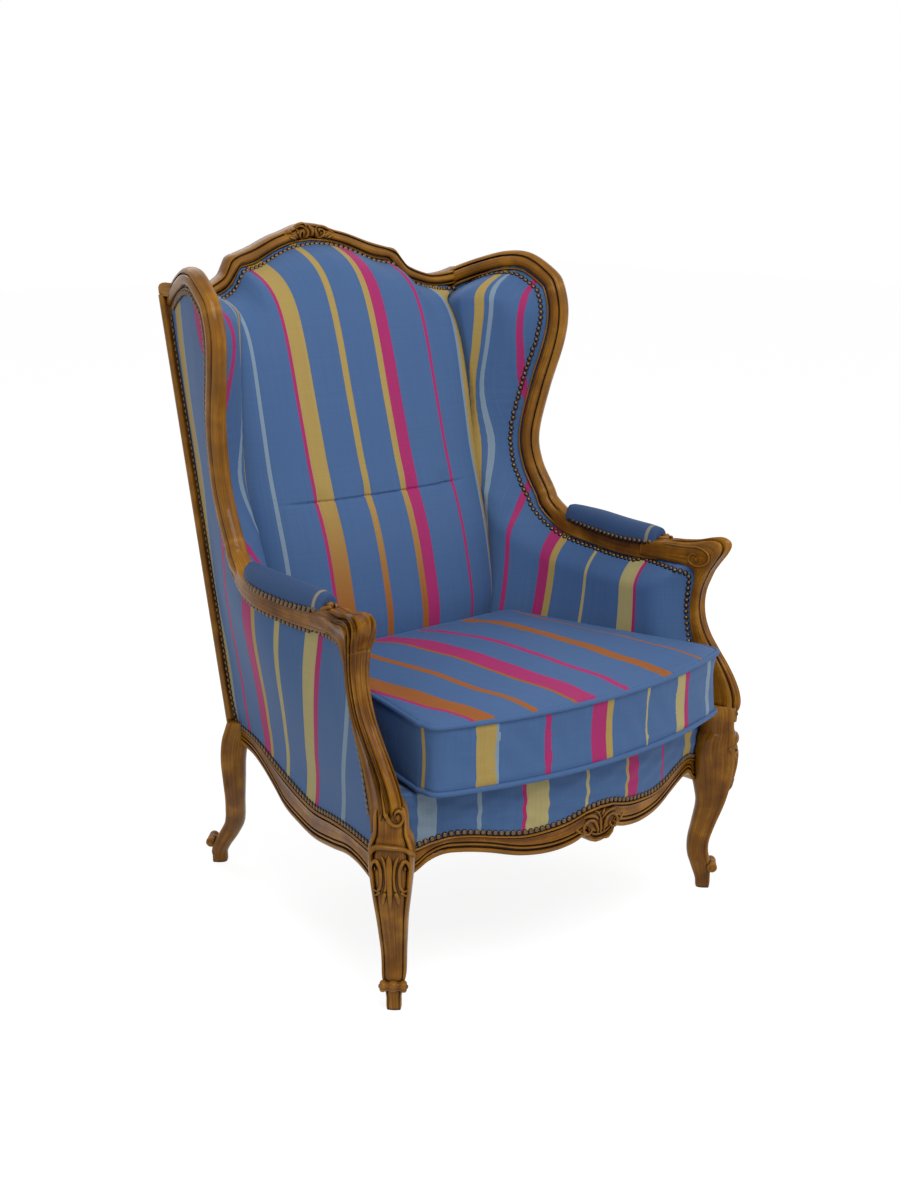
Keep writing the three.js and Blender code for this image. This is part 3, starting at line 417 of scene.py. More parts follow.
def set_inputs(tree: Tree, node: Node, inputs: dict) -> None:
    """Gives a node its inputs, each a value or the socket that feeds it.

    Args:
        tree: the node tree.
        node: the node.
        inputs: socket name or number to a value, or to the socket that feeds it.
    """
    for key, value in inputs.items():
        if isinstance(value, Socket):
            tree.links.new(value, node.inputs[key])
        else:
            node.inputs[key].default_value = value


def add_node(
    tree: Tree, kind: str, inputs: dict | None = None, out: int | str = 0, **settings: object
) -> Socket:
    """Adds one shader node.

    Args:
        tree: the material's node tree.
        kind: the node's type, without its ShaderNode prefix.
        inputs: socket name or number to a value, or to the socket that feeds it.
        out: the name or number of the output that is wanted.
        settings: the node's own properties.

    Returns:
        The wanted output's socket, or None for a node without outputs.
    """
    node = tree.nodes.new(f"ShaderNode{kind}")
    for name, value in settings.items():
        setattr(node, name, value)
    set_inputs(tree, node, inputs or {})
    return node.outputs[out] if node.outputs else None


def ramp(tree: Tree, place: Socket, stops: Sequence[tuple[float, Colour]], step: bool = False) -> Socket:
    """Adds a colour ramp.

    Args:
        tree: the material's node tree.
        place: feeds the ramp.
        stops: pairs of place and linear colour.
        step: colours change at once instead of blending.

    Returns:
        The socket of its colour.
    """
    colour = add_node(tree, "ValToRGB", {"Fac": place}, "Color")
    band = colour.node.color_ramp
    if step:
        band.interpolation = "CONSTANT"
    while len(band.elements) < len(stops):
        band.elements.new(1.0)
    for element, (spot, shade) in zip(band.elements, stops):
        element.position = spot
        element.color = shade
    return colour


def mix(
    tree: Tree, share: object, low: object, high: object, **settings: str
) -> Socket:
    """Adds a colour mix of two values or sockets and returns its colour."""
    return add_node(tree, "Mix", {0: share, 6: low, 7: high}, 2, data_type="RGBA", **settings)


def object_noise(tree: Tree, scale: float, detail: float) -> Socket:
    """Adds noise that lies still on the piece and returns its value."""
    place = add_node(tree, "TexCoord", out="Object")
    return add_node(tree, "TexNoise", {"Vector": place, "Scale": scale, "Detail": detail}, "Fac")


def run_noise(
    tree: Tree, scale: tuple[float, float, float], **noise: float
) -> Socket:
    """Adds noise stretched along the pattern's run and returns its value."""
    run = add_node(tree, "UVMap", out="UV", uv_map=UV_NAME)
    stretched = add_node(tree, "Mapping", {"Vector": run, "Scale": scale}, "Vector")
    return add_node(tree, "TexNoise", {"Vector": stretched, **noise}, "Fac")


def remap(
    tree: Tree, value: Socket, start: tuple[float, float], end: tuple[float, float]
) -> Socket:
    """Adds a map from one range of values to another and returns its result."""
    ranges = {"From Min": start[0], "From Max": start[1], "To Min": end[0], "To Max": end[1]}
    return add_node(tree, "MapRange", {"Value": value, **ranges}, "Result")


def tinted(
    tree: Tree, colour: Socket, tone: Socket
) -> Socket:
    """Adds a product of a colour and a tone and returns its colour."""
    return mix(tree, 1.0, colour, tone, blend_type="MULTIPLY")


def bump(
    tree: Tree, height: Socket, strength: float, distance: float
) -> Socket:
    """Adds a bump of the given strength and height in metres and returns its normal."""
    return add_node(tree, "Bump", {"Height": height, "Strength": strength, "Distance": distance}, "Normal")


def new_material(name: str) -> tuple[Material, Tree, Node]:
    """A material with its tree emptied down to one shader wired to the output.

    Args:
        name: the material's name.

    Returns:
        The material, its node tree and the shader.
    """
    material = bpy.data.materials.new(name)
    material.use_nodes = True
    tree = material.node_tree
    tree.nodes.clear()
    surface = add_node(tree, "BsdfPrincipled", out="BSDF")
    add_node(tree, "OutputMaterial", {"Surface": surface})
    return material, tree, surface.node


def grey(value: float) -> Colour:
    """A grey of the given linear value."""
    return (value, value, value, 1.0)


@dataclass(frozen=True)
class VarnishedWood:
    """Stained beech under gloss varnish, with a dark antique glazing and painted shade in its carving.

    The stain gives streaks along the grain. Near-black glazing and painted shade darken the grooves
    and wherever other parts lie close, and rubbing wear together with a painted highlight leaves the proud
    edges a lighter honey.
    """

    name: str = "stained varnished beech"
    light: str = "#B07A24"
    middle: str = "#77480D"
    dark: str = "#452407"
    glaze: str = "#170A04"
    streak_mm: float = 1.0
    streak_long_mm: float = 70
    glaze_and_shade_reach: float = 0.006

    def material(self) -> Material:
        """Builds the finish."""
        material, tree, shader = new_material(self.name)
        grain = (1000 / self.streak_mm, 1000 / self.streak_long_mm, 1.0)
        streaks = run_noise(tree, grain, Scale=0.5, Detail=5.0, Roughness=0.62, Distortion=0.35)
        blended = mix(tree, 0.5, streaks, object_noise(tree, 22.0, 3.0))
        shades = [(0.33, linear(self.dark)), (0.5, linear(self.middle)), (0.68, linear(self.light))]
        # painted highlight, partly real wear: pointiness mixes the proud edges towards the light honey
        pointed = add_node(tree, "NewGeometry", out="Pointiness")
        rubbed_and_highlit = ramp(tree, pointed, [(0.5, grey(0)), (0.6, grey(0.65))])
        worn_and_highlit = mix(tree, rubbed_and_highlit, ramp(tree, blended, shades), linear(self.light))
        # painted shade, partly real glazing: ambient occlusion darkens the grooves and wherever other parts
        # lie close, down to near-black
        hollow = add_node(tree, "AmbientOcclusion", {"Distance": self.glaze_and_shade_reach}, "AO", samples=6)
        filled = ramp(tree, hollow, [(0.46, grey(0.94)), (0.9, grey(0))])
        set_inputs(tree, shader, {
            "Base Color": mix(tree, filled, worn_and_highlit, linear(self.glaze)),
            "Roughness": remap(tree, streaks, (0, 1), (0.26, 0.42)),
            "Normal": bump(tree, streaks, 0.16, 0.0004),
            "IOR": 1.5,
            "Specular IOR Level": 0.06,
            "Coat Weight": 0.22,
            "Coat Roughness": 0.08,
        })
        return material


PINK = "#A8306A"
GOLD = "#AC9355"
STRAW = "#B0A370"
# the orange-brown that the gold stripes are painted on the seat and low on the back: a painted sheen of the
# silk
SHOT_SHEEN_RUST = "#9C5D2B"
PALE = "#8296A8"
GROUND = "#4A6894"


@dataclass(frozen=True)
class StripedSatin:
    """Satin-woven silk blend: a blue warp with pink, gold and pale stripes.

    The long floats give a soft sheen and faint streaks along the warp. Single threads are
    too fine to show, so the streaks are drawn a few threads wide.

    Attributes:
        name: the material's name.
        stripes: the place of each stripe's middle and its width, in metres, and its colour.
        ground: the colour between them.
        painted_shot_sheen: the colour that the gold stripes are painted with below `turn_z`, if any, as a
            painted sheen of the silk.
        turn_z: the heights between which they turn.
        span: the width of cloth that the stripes lie in.
        streak_mm: the width of a streak.
    """

    name: str
    stripes: tuple[tuple[float, float, str], ...]
    ground: str = GROUND
    painted_shot_sheen: str = ""
    turn_z: tuple[float, float] = (0.5, 0.8)
    span: float = 1.6
    streak_mm: float = 1.4

    def ramp_stops(self, painted_shot_sheen: str = "") -> list[tuple[float, tuple]]:
        """Stops of the stripe ramp over `span` metres centred on zero.

        Args:
            painted_shot_sheen: the painted sheen colour that the gold stripes take, if any.

        Returns:
            Pairs of place and linear colour, each stop starting a stripe or the ground after it.
        """
        ground = linear(self.ground)
        stops: list[tuple[float, tuple]] = [(0.0, ground)]
        for middle, width, colour in sorted(self.stripes):
            low = 0.5 + (middle - width / 2) / self.span
            high = 0.5 + (middle + width / 2) / self.span
            if stops[-1][0] > low - 1e-4:
                stops.pop()
            stops.append((low, linear(painted_shot_sheen if painted_shot_sheen and colour in (GOLD, STRAW) else colour)))
            stops.append((high, ground))
        return stops

    def material(self) -> Material:
        """Builds the finish."""
        material, tree, shader = new_material(self.name)
        run = add_node(tree, "UVMap", out="UV", uv_map=UV_NAME)
        across = add_node(tree, "SeparateXYZ", {"Vector": run}, "X")
        place = remap(tree, across, (-self.span / 2, self.span / 2), (0, 1))
        colour = ramp(tree, place, self.ramp_stops(), step=True)
        # painted sheen: low on the back the gold stripes are painted in the orange-brown that the silk's
        # sheen turns them
        if self.painted_shot_sheen:
            spot = add_node(tree, "TexCoord", out="Object")
            height = add_node(tree, "SeparateXYZ", {"Vector": spot}, "Z")
            low = ramp(tree, place, self.ramp_stops(self.painted_shot_sheen), step=True)
            colour = mix(tree, remap(tree, height, self.turn_z, (0, 1)), low, colour)
        fine = 1000 / self.streak_mm
        threads = run_noise(tree, (fine, 9.0, 1.0), Scale=0.6, Detail=3.0, Roughness=0.6)
        weft = run_noise(tree, (12.0, fine, 1.0), Scale=0.6, Detail=2.0)
        both = mix(tree, 0.35, threads, weft)
        set_inputs(tree, shader, {
            "Base Color": tinted(tree, colour, remap(tree, both, (0.3, 0.7), (0.92, 1.08))),
            "Normal": bump(tree, both, 0.22, 0.0003),
            "Roughness": 0.56,
            "Specular IOR Level": 0.1,
            "Sheen Weight": 0.04,
            "Sheen Roughness": 0.4,
        })
        return material


@dataclass(frozen=True)
class BronzedNail:
    """Domed steel nails with an antique bronze plating, lighter on their crowns and darkened by painted shade
    towards their foot.
    """

    name: str = "antique bronze nails"
    crown: str = "#6E5840"
    rim: str = "#17100B"

    def material(self) -> Material:
        """Builds the finish."""
        material, tree, shader = new_material(self.name)
        run = add_node(tree, "UVMap", out="UV", uv_map=UV_NAME)
        up = add_node(tree, "SeparateXYZ", {"Vector": run}, "Y")
        # painted shade: each dome is darker towards its foot, where it meets the cloth, and lighter on its
        # crown
        colour = ramp(tree, up, [(0.25, linear(self.rim)), (0.85, linear(self.crown))])
        tarnish = remap(tree, object_noise(tree, 90.0, 2.0), (0, 1), (0.55, 1.3))
        set_inputs(tree, shader, {
            "Base Color": tinted(tree, colour, tarnish), "Metallic": 0.85, "Roughness": 0.36,
        })
        return material


@dataclass(frozen=True)
class PlainStuff:
    """A plain workaday surface: raw wood, jute, wire or lining, with a fine mottle."""

    name: str
    colour: str
    other: str
    grain_mm: float = 2.0
    roughness: float = 0.8
    metallic: float = 0.0

    def material(self) -> Material:
        """Builds the finish."""
        material, tree, shader = new_material(self.name)
        mottle = object_noise(tree, 1000 / self.grain_mm / 4, 3.0)
        set_inputs(tree, shader, {
            "Base Color": ramp(tree, mottle, [(0.35, linear(self.colour)), (0.65, linear(self.other))]),
            "Normal": bump(tree, mottle, 0.3, 0.0005),
            "Roughness": self.roughness,
            "Metallic": self.metallic,
        })
        return material


# The chair's lines


@dataclass
class ChairLines:
    """The driving sizes and lines of the chair, as its frame has them; drawn for the right side.

    Places given as "back" lie so far behind the front feet. Tables of shares hold pairs of a
    share of a member's run and a share of its rise; `front_lip` is the height of the front
    rail's lower edge against x, with cusps beside its middle lobe.
    """

    height: float = 1.08
    front_feet_y: float = -0.265
    front_foot_x: float = 0.338
    rear_foot_x: float = 0.211
    feet_apart_y: float = 0.622
    post_x: tuple[float, float] = (0.24, 0.282)
    post_back: tuple[float, float] = (0.498, 0.588)
    post_top_z: float = 0.978
    post_half: tuple[float, float] = (0.02, 0.022)
    rail_z: tuple[float, float] = (0.189, 0.29)
    rail_thick: float = 0.032
    front_rail_half: float = 0.31
    front_rail_bow: float = 0.085
    side_rail_run: tuple[float, float] = (0.016, 0.482)
    rail_splay: float = 0.22
    leg_top_z: float = 0.276
    arm_z: float = 0.553
    wing_top_z: float = 1.012
    wing_reach: float = 0.205
    arm_run: float = 0.483
    arm_flare: float = 0.089
    wing_draw: float = 0.13
    support_foot_back: float = -0.019
    support_sweep: float = 0.066
    arm_nose_back: float = 0.009
    wood_half: tuple[float, float] = (0.017, 0.015)
    crest_half: float = 0.3
    shoulder_z: float = 0.967
    back_bow: float = 0.045
    crest_step: float = 0.011
    crest_thick: float = 0.032
    flare: Graph = drawn(
        (0, 0), (0.28, 0.64), (0.4, 0.86), (0.52, 0.98), (0.69, 0.98), (0.855, 1), (0.94, 1.09), (1, 1.19),
    )
    wing_top_shares: tuple = (
        (0.03, 0.92), (0.14, 0.943), (0.34, 0.974), (0.55, 0.997), (0.74, 0.993), (0.92, 0.943),
        (0.98, 0.904),
    )
    wing_post_shares: tuple = (
        (1, 0.82), (0.94, 0.712), (0.78, 0.538), (0.67, 0.364), (0.69, 0.25), (0.79, 0.146),
    )
    arm_shares: tuple = (
        (0.03, 0.102), (0.11, 0.05), (0.18, 0.028), (0.3, 0.013), (0.53, 0), (0.77, 0.012), (0.97, 0.042)
    )
    support_shares: tuple = (
        (0.93, 0.88), (0.806, 1), (0.66, 0.94), (0.513, 0.76), (0.366, 0.39), (0.22, 0.06), (0.073, 0),
        (0, 0),
    )
    front_edge_shares: tuple = (
        (0, 0.594), (0.09, 0.57), (0.145, 0.525), (0.226, 0.47), (0.323, 0.44), (0.452, 0.43), (0.58, 0.49),
        (0.71, 0.565), (0.806, 0.58), (0.887, 0.53), (0.968, 0.44), (1.08, 0.43),
    )
    side_edge_shares: tuple = (
        (0, 0.03, 0.5), (0.09, 0.13, 0.525), (0.17, 0.15, 0.535), (0.28, 0.07, 0.515), (0.42, 0, 0.465),
        (0.54, 0.05, 0.53), (0.65, 0.15, 0.63), (0.72, 0.31, 0.7), (0.815, 0.5, 0.82), (0.9, 0.62, 0.9),
        (1, 0.66, 0.92),
    )
    crest_top_shares: tuple = (
        (0, 1), (0.08, 0.97), (0.17, 0.895), (0.25, 0.84), (0.4, 0.7), (0.52, 0.61), (0.57, 0.57),
        (0.6, 0.46), (0.63, 0.35), (0.67, 0.285), (0.72, 0.23), (0.78, 0.187), (0.88, 0.205), (1, 0.27),
    )
    crest_low_shares: tuple = (
        (0, 0.735), (0.13, 0.7), (0.23, 0.63), (0.33, 0.525), (0.4, 0.45), (0.465, 0.415), (0.52, 0.385),
        (0.545, 0.3), (0.585, 0.177), (0.63, 0.106), (0.7, 0.044), (0.78, 0), (0.9, 0.01), (1, 0.08),
    )
    front_lip: Graph = drawn(
        (0, 0.191), (0.014, 0.1935), (0.024, 0.2), (0.03, 0.2075), (0.033, 0.209), (0.037, 0.2065),
        (0.046, 0.2025), (0.068, 0.198), (0.097, 0.196), (0.142, 0.2), (0.2, 0.215), (0.235, 0.2205),
        (0.26, 0.2205), (0.28, 0.212), (0.299, 0.196), (0.32, 0.19),
    )

    def __post_init__(self) -> None:
        """Draws the side's lines and the limits of its opening."""
        self.wing_high = self.wing_top_z - self.arm_z
        wing_top = [self.wing_point(*row) for row in self.wing_top_shares]
        wing_post = [self.wing_point(*row) for row in self.wing_post_shares]
        rear_y = wing_post[-1][1]
        nose_y = self.from_feet(self.arm_nose_back)
        run, up = np.array(self.arm_shares).T
        arm = self.on_side(lerp(rear_y, nose_y, run), self.arm_z + up * self.wing_high)
        self.side_knots = np.array([*wing_top, *wing_post, *arm])
        self.wing_top_end = len(wing_top) - 1.0
        self.wing_post_end = self.wing_top_end + len(wing_post)
        self.arm_end = len(self.side_knots) - 1.0
        up, back = np.array(self.support_shares).T
        support_y = self.from_feet(self.support_foot_back + back * self.support_sweep)
        support = self.on_side(support_y, lerp(self.leg_top_z, self.arm_z, up))
        self.support_line = curve_through(support, 60)
        self.side_line = smooth_line(self.side_knots, np.linspace(0, self.arm_end, 400))
        apex = int(np.argmax(self.side_line[:, 2]))
        foot = apex + int(np.argmax(self.side_line[apex:, 2] < self.arm_z + 0.03 * self.wing_high))
        self.wing_front = self.limit(self.side_line[apex:foot][::-1])
        self.wing_rear = self.limit(self.side_line[:apex])
        self.support_front = self.limit(self.support_line[::-1])
        self.arm_under_z = self.arm_z - self.wood_half[0] / 2
        self.wing_foot_z = float(self.side_line[foot, 2])
        self.front_high = self.edge(self.front_edge_shares, *self.rail_z)
        self.side_low = self.edge([(run, low) for run, low, _ in self.side_edge_shares], *self.rail_z)
        self.side_high = self.edge([(run, high) for run, _, high in self.side_edge_shares], *self.rail_z)
        self.crest_top_edge = self.edge(self.crest_top_shares, self.shoulder_z, self.height)
        self.crest_low_edge = self.edge(self.crest_low_shares, self.shoulder_z, self.height)

    def from_feet(self, back: Array | float) -> Array | float:
        """The y of a place so far behind the front feet."""
        return self.front_feet_y + back

    def post_at(self, z: Array | float) -> tuple[Array, Array]:
        """The x and y of the rear post's centre at height z."""
        up = (np.asarray(z, float) - self.rail_z[1]) / (self.post_top_z - self.rail_z[1])
        return lerp(*self.post_x, up), self.from_feet(lerp(*self.post_back, up))

    def side_x(self, y: Array | float, z: Array | float) -> Array:
        """The x of the chair's side, through the middle of its wood.

        Args:
            y: places on the side.
            z: their heights.

        Returns:
            The x of each place.
        """
        post_x, post_y = self.post_at(z)
        ahead = post_y - y
        draw_in = 1 - self.wing_draw * ease(lerp(self.arm_z, self.wing_top_z, 0.45), self.wing_top_z, z)
        upper = self.arm_flare * self.flare(ahead / self.arm_run) * draw_in
        return post_x + lerp(ahead * self.rail_splay, upper, ease(self.rail_z[1], self.arm_z, z))

    def on_side(self, y: Array | float, z: Array | float) -> Array:
        """Points of the chair's side at y and z."""
        return stacked(self.side_x(y, z), y, z)

    def wing_point(self, reach: float, up: float) -> Array:
        """A point of the wing from its share of the reach and of the wing's height."""
        z = self.arm_z + up * self.wing_high
        return self.on_side(float(self.post_at(z)[1]) - reach * self.wing_reach, z)

    def member(self, start: float, end: float, count: int) -> Array:
        """Points of the side's wood between two of its knots."""
        return spaced(smooth_line(self.side_knots, np.linspace(start, end, 6 * count)), count)

    @staticmethod
    def limit(points: Array) -> Graph:
        """y against z along a rising line.

        Args:
            points: the line, from its foot up.

        Returns:
            The graph, without points that rise too little.
        """
        rows: list[tuple[float, float]] = []
        for point in points:
            if not rows or point[2] > rows[-1][0] + 0.001:
                rows.append((float(point[2]), float(point[1])))
        return Graph(rows)

    def slice_front(self, z: Array) -> Array:
        """The front limit of the side's opening at height z.

        Args:
            z: heights.

        Returns:
            The y of the limit at each height.
        """
        along = np.clip((z - self.arm_under_z) / (self.wing_foot_z - self.arm_under_z), 0, 1)
        low = self.support_front(np.minimum(z, self.arm_under_z))
        high = self.wing_front(np.maximum(z, self.wing_foot_z))
        return lerp(low, high, along)

    def slice_rear(self, z: Array) -> Array:
        """The rear limit of the side's opening at height z."""
        post_y = self.post_at(z)[1]
        root_z = self.side_line[0, 2]
        return np.where(z < root_z, post_y, np.minimum(self.wing_rear(np.maximum(z, root_z)), post_y))

    def wood_gap(self, y: Array, z: Array) -> Array:
        """How far a place on the side lies from the middle of the show wood."""
        edge = np.concatenate([self.side_line[::4], self.support_line[::2]])[:, 1:]
        gap = np.sqrt((y[..., None] - edge[:, 0]) ** 2 + (z[..., None] - edge[:, 1]) ** 2)
        return gap.min(axis=-1)

    def inside_edge(self, y: Array, z: Array) -> Array:
        """How far a place on the side lies inside the show wood's edge."""
        return np.maximum(self.wood_gap(y, z) - self.wood_half[0], 0)

    @staticmethod
    def edge(shares: Sequence[Sequence[float]], low: float, high: float) -> Callable[[Array], Array]:
        """The height of a rail's edge against the share of its run.

        Args:
            shares: pairs of run and share of the way from low to high.
            low: the height at a share of 0.
            high: the height at a share of 1.

        Returns:
            The edge's height as a function of the run.
        """
        graph = Graph(shares)
        return lambda run: lerp(low, high, graph(run))

    def front_face_y(self, x: Array | float) -> Array:
        """The y of the front rail's bowed face."""
        return self.from_feet(-self.front_rail_bow * (1 - (np.asarray(x) / self.front_rail_half) ** 2))

    def side_face_x(self, y: Array | float) -> Array:
        """The x of the side rail's outer face."""
        return self.side_x(y, sum(self.rail_z) / 2) + self.rail_thick / 2

    def side_run(self, y: Array | float) -> Array:
        """The share of the side rail's run at y."""
        start, end = self.side_rail_run
        return (np.asarray(y) - self.from_feet(start)) / (end - start)

    def crest_top(self, x: Array | float) -> Array:
        """The height of the crest's upper edge."""
        return self.crest_top_edge(np.abs(x) / self.crest_half)

    def crest_low(self, x: Array | float) -> Array:
        """The height of the crest's lower edge."""
        return self.crest_low_edge(np.abs(x) / self.crest_half)

    def bow(self, x: Array | float) -> Array:
        """How far the back bows to the rear at x."""
        return self.back_bow * (1 - (np.asarray(x) / self.crest_half) ** 2)

    def crest_front_y(self, x: Array | float, z: Array | float) -> Array:
        """The y of the crest's front face."""
        return self.post_at(z)[1] - self.post_half[1] - self.crest_step + self.bow(x)

    def crest_rear_y(self, x: Array | float, z: Array | float) -> Array:
        """The y of the crest's rear face."""
        own = self.bow(x) - self.post_half[1] - self.crest_step + self.crest_thick
        return self.post_at(z)[1] + lerp(own, self.post_half[1], (np.asarray(x) / self.crest_half) ** 4)


# Show wood


def face_profile(half_across: float, half_depth: float, plain: bool = False) -> Array:
    """The moulded section of the wing and arm wood.

    Args:
        half_across: half its width in the side's plane.
        half_depth: half its thickness.
        plain: leave its faces flat, as they are below the arm pads.

    Returns:
        Pairs of across and depth round the section: inner bead, groove, broad round and
        outer bead on each face, meeting at the rounded outer edge.
    """
    shares = np.array([
        (-1.0, 0.55), (-0.96, 0.74), (-0.87, 0.84), (-0.76, 0.78), (-0.7, 0.52), (-0.63, 0.52), (-0.56, 0.8),
        (-0.3, 1.02), (0.0, 1.04), (0.26, 0.96), (0.4, 0.84), (0.46, 0.54), (0.53, 0.52), (0.6, 0.76),
        (0.78, 0.72), (0.95, 0.42), (1.02, 0.0),
    ])
    if plain:
        shares[:, 1] = np.where(np.abs(shares[:, 0]) < 0.9, 0.84, shares[:, 1])
    back = shares[:-1][::-1] * np.array([1, -1])
    return np.concatenate([shares, back]) * np.array([half_across, half_depth])


def fluted(flutes: int, deep: float, steps: int = 8) -> Array:
    """A rounded section with flutes over its front and its outer corner.

    Args:
        flutes: how many hollows run side by side.
        deep: their depth as a share of half the section.
        steps: points across each hollow.

    Returns:
        Pairs of reach, from 0 at the rear edge to 1 at the front, and side, from -1 to 1.
    """
    first, last = math.radians(-42), math.radians(128)
    share = np.linspace(0, 1, flutes * steps + 1)
    hollow = 1 - deep * np.abs(np.sin(np.pi * share * flutes)) ** 0.7
    plain = np.linspace(last, first + 2 * math.pi, 22)[1:-1]
    angle = np.concatenate([lerp(first, last, share), plain])
    size = np.concatenate([hollow, np.ones(len(plain))])
    forward, aside = (size * np.sign(way) * np.abs(way) ** SQUARED for way in (np.cos(angle), np.sin(angle)))
    return stacked(0.5 + 0.5 * forward, aside)


@dataclass(frozen=True)
class Stroke:
    """One carved ridge, leaf lobe or scroll, drawn square on in millimetres.

    Attributes:
        path: places across and up the drawing.
        wide: its greatest width.
        high: how far it stands proud.
        ends: its width near each end, as shares of the greatest.
    """

    path: tuple[tuple[float, float], ...]
    wide: float
    high: float
    ends: tuple[float, float] = (0.6, 0.45)

    def flipped(self) -> Stroke:
        """Its mirror image across the drawing."""
        return Stroke(tuple((-x, z) for x, z in self.path), self.wide, self.high, self.ends)


def bead(x: float, z: float, size: float) -> Stroke:
    """A carved pearl, its places and size in millimetres."""
    return Stroke(((x - 0.3 * size, z), (x, z), (x + 0.3 * size, z)), size, 0.6 * size, (0.9, 0.9))


@dataclass
class Easel:
    """A view of carved pieces, through which strokes are laid on them.

    Attributes:
        pieces: the surfaces to carve.
        origin: the drawing's zero.
        right: the drawing's direction across.
        out: the direction that faces the carver.
        level: how far out from the origin a stroke lies where there is nothing behind it.
        reach: how far either side of that level a surface is looked for.
    """

    pieces: Sequence[Patch]
    origin: Array
    right: Array
    out: Array
    level: float
    reach: float = 0.1

    def __post_init__(self) -> None:
        """Gathers the surfaces to lay strokes on."""
        verts: list[Array] = []
        faces: list[list[int]] = []
        start = 0
        for piece in self.pieces:
            rows, cols = piece.points.shape[:2]
            verts.append(piece.points.reshape(-1, 3))
            here = start + np.arange(rows * cols).reshape(rows, cols)
            beside = np.roll(here, -1, axis=1)
            quads = stacked(here[:-1], beside[:-1], beside[1:], here[1:])
            faces.extend(quads.reshape(-1, 4).tolist())
            start += rows * cols
        self.tree = BVHTree.FromPolygons(np.concatenate(verts).tolist(), faces)
        self.up = np.cross(self.out, self.right)

    def depth(self, start: Array) -> float:
        """How far out the surface lies behind a point of the drawing."""
        far = self.level + self.reach
        hit = self.tree.ray_cast(Vector(start + self.out * far), Vector(-self.out), 2 * self.reach)
        return self.level if hit[3] is None else far - hit[3]

    def lay(self, stroke: Stroke) -> Patch:
        """A stroke as a closed ridge, half of it sunk in the wood.

        Args:
            stroke: the stroke, as drawn.

        Returns:
            The ridge, in the chair's own place.
        """
        line = curve_through(np.array(stroke.path) / 1000, max(12, 7 * len(stroke.path)))
        flat = self.origin + line[:, :1] * self.right + line[:, 1:] * self.up
        depth = np.array([self.depth(point) for point in flat])
        eased = np.convolve(np.pad(depth, 2, mode="edge"), np.ones(5) / 5, mode="valid")
        share = np.linspace(0, 1, len(line))
        first, last = stroke.ends
        size = Graph([(0, 0.1), (0.08, first), (0.45, 1), (0.75, 0.85), (0.93, last), (1, 0.08)])(share)
        step = unit(np.gradient(line, axis=0))
        aside = -step[:, 1:] * self.right + step[:, :1] * self.up
        turn = np.linspace(0, 2 * math.pi, 13)[:-1]
        wide = np.cos(turn)[None, :] * size[:, None] * stroke.wide / 2000
        high = np.sin(turn)[None, :] * size[:, None] * stroke.high / 1000
        centre = flat + eased[:, None] * self.out
        grid = centre[:, None] + wide[..., None] * aside[:, None] + high[..., None] * self.out
        return solid(grid)

    def carve(self, single: Sequence[Stroke], paired: Sequence[Stroke] = ()) -> list[Patch]:
        """Lays single strokes once and paired ones with their mirror images."""
        strokes = [*single, *paired, *(stroke.flipped() for stroke in paired)]
        return [self.lay(stroke) for stroke in strokes]


KNEE = (Stroke(((1.5, 252), (1, 232), (1, 212), (1, 190), (1, 164)), 9.5, 4.8, (0.9, 0.35)),)
KNEE_PAIRS = (
    Stroke(((13, 252), (8, 241), (5.8, 228), (5.4, 212), (7, 200), (10.5, 195)), 5.6, 4.4, (0.7, 0.8)),
    Stroke((
        (26, 231), (25, 239), (18.5, 242), (13.4, 231), (12.8, 216), (14, 204), (19, 196.5), (25.5, 199.5),
    ), 6, 4.8, (0.8, 0.6)),
    bead(22, 232, 7), Stroke(((6.5, 197), (10, 186), (11.5, 173)), 6.2, 4, (0.8, 0.3)),
    Stroke(((14, 197), (19, 191), (24, 189)), 5, 3.6, (0.7, 0.4)),
)
COLLAR = (
    Stroke((
        (29, 246), (26.5, 257), (16, 264), (-1, 263.5), (-15, 261.5), (-27, 255.5), (-34, 246),
    ), 8, 6, (0.8, 0.8)),
)
SUPPORT_SCROLL = (
    Stroke((
        (12, 352), (8.5, 331), (4.2, 309), (-2.8, 297), (-12.6, 295), (-18, 305), (-14, 315), (-7.5, 313.5),
        (-7, 306),
    ), 6.5, 4.4, (0.6, 0.8)),
    bead(-10.5, 306.5, 8.5),
)
CARTOUCHE = (Stroke(((0, 203), (0, 219), (0, 235)), 6, 3.2),)
CARTOUCHE_PAIRS = (
    Stroke((
        (5.5, 203), (8, 216), (14, 227), (25, 230), (34.5, 223), (34.5, 213), (26, 209.5), (19.5, 215.5),
        (24, 221),
    ), 5.7, 4.5, (0.7, 0.7)),
    bead(25.5, 217.5, 6.5), Stroke(((3, 226), (11, 233.5), (22, 237), (35, 236)), 6.1, 3.2),
    Stroke(((2, 232), (6, 239), (12, 243)), 4.4, 3), Stroke(((36, 213), (44, 217), (52, 224)), 5.5, 3.2),
    Stroke(((3, 197), (15, 198), (27, 205), (36, 215)), 4.4, 3.8, (0.9, 0.3)),
)
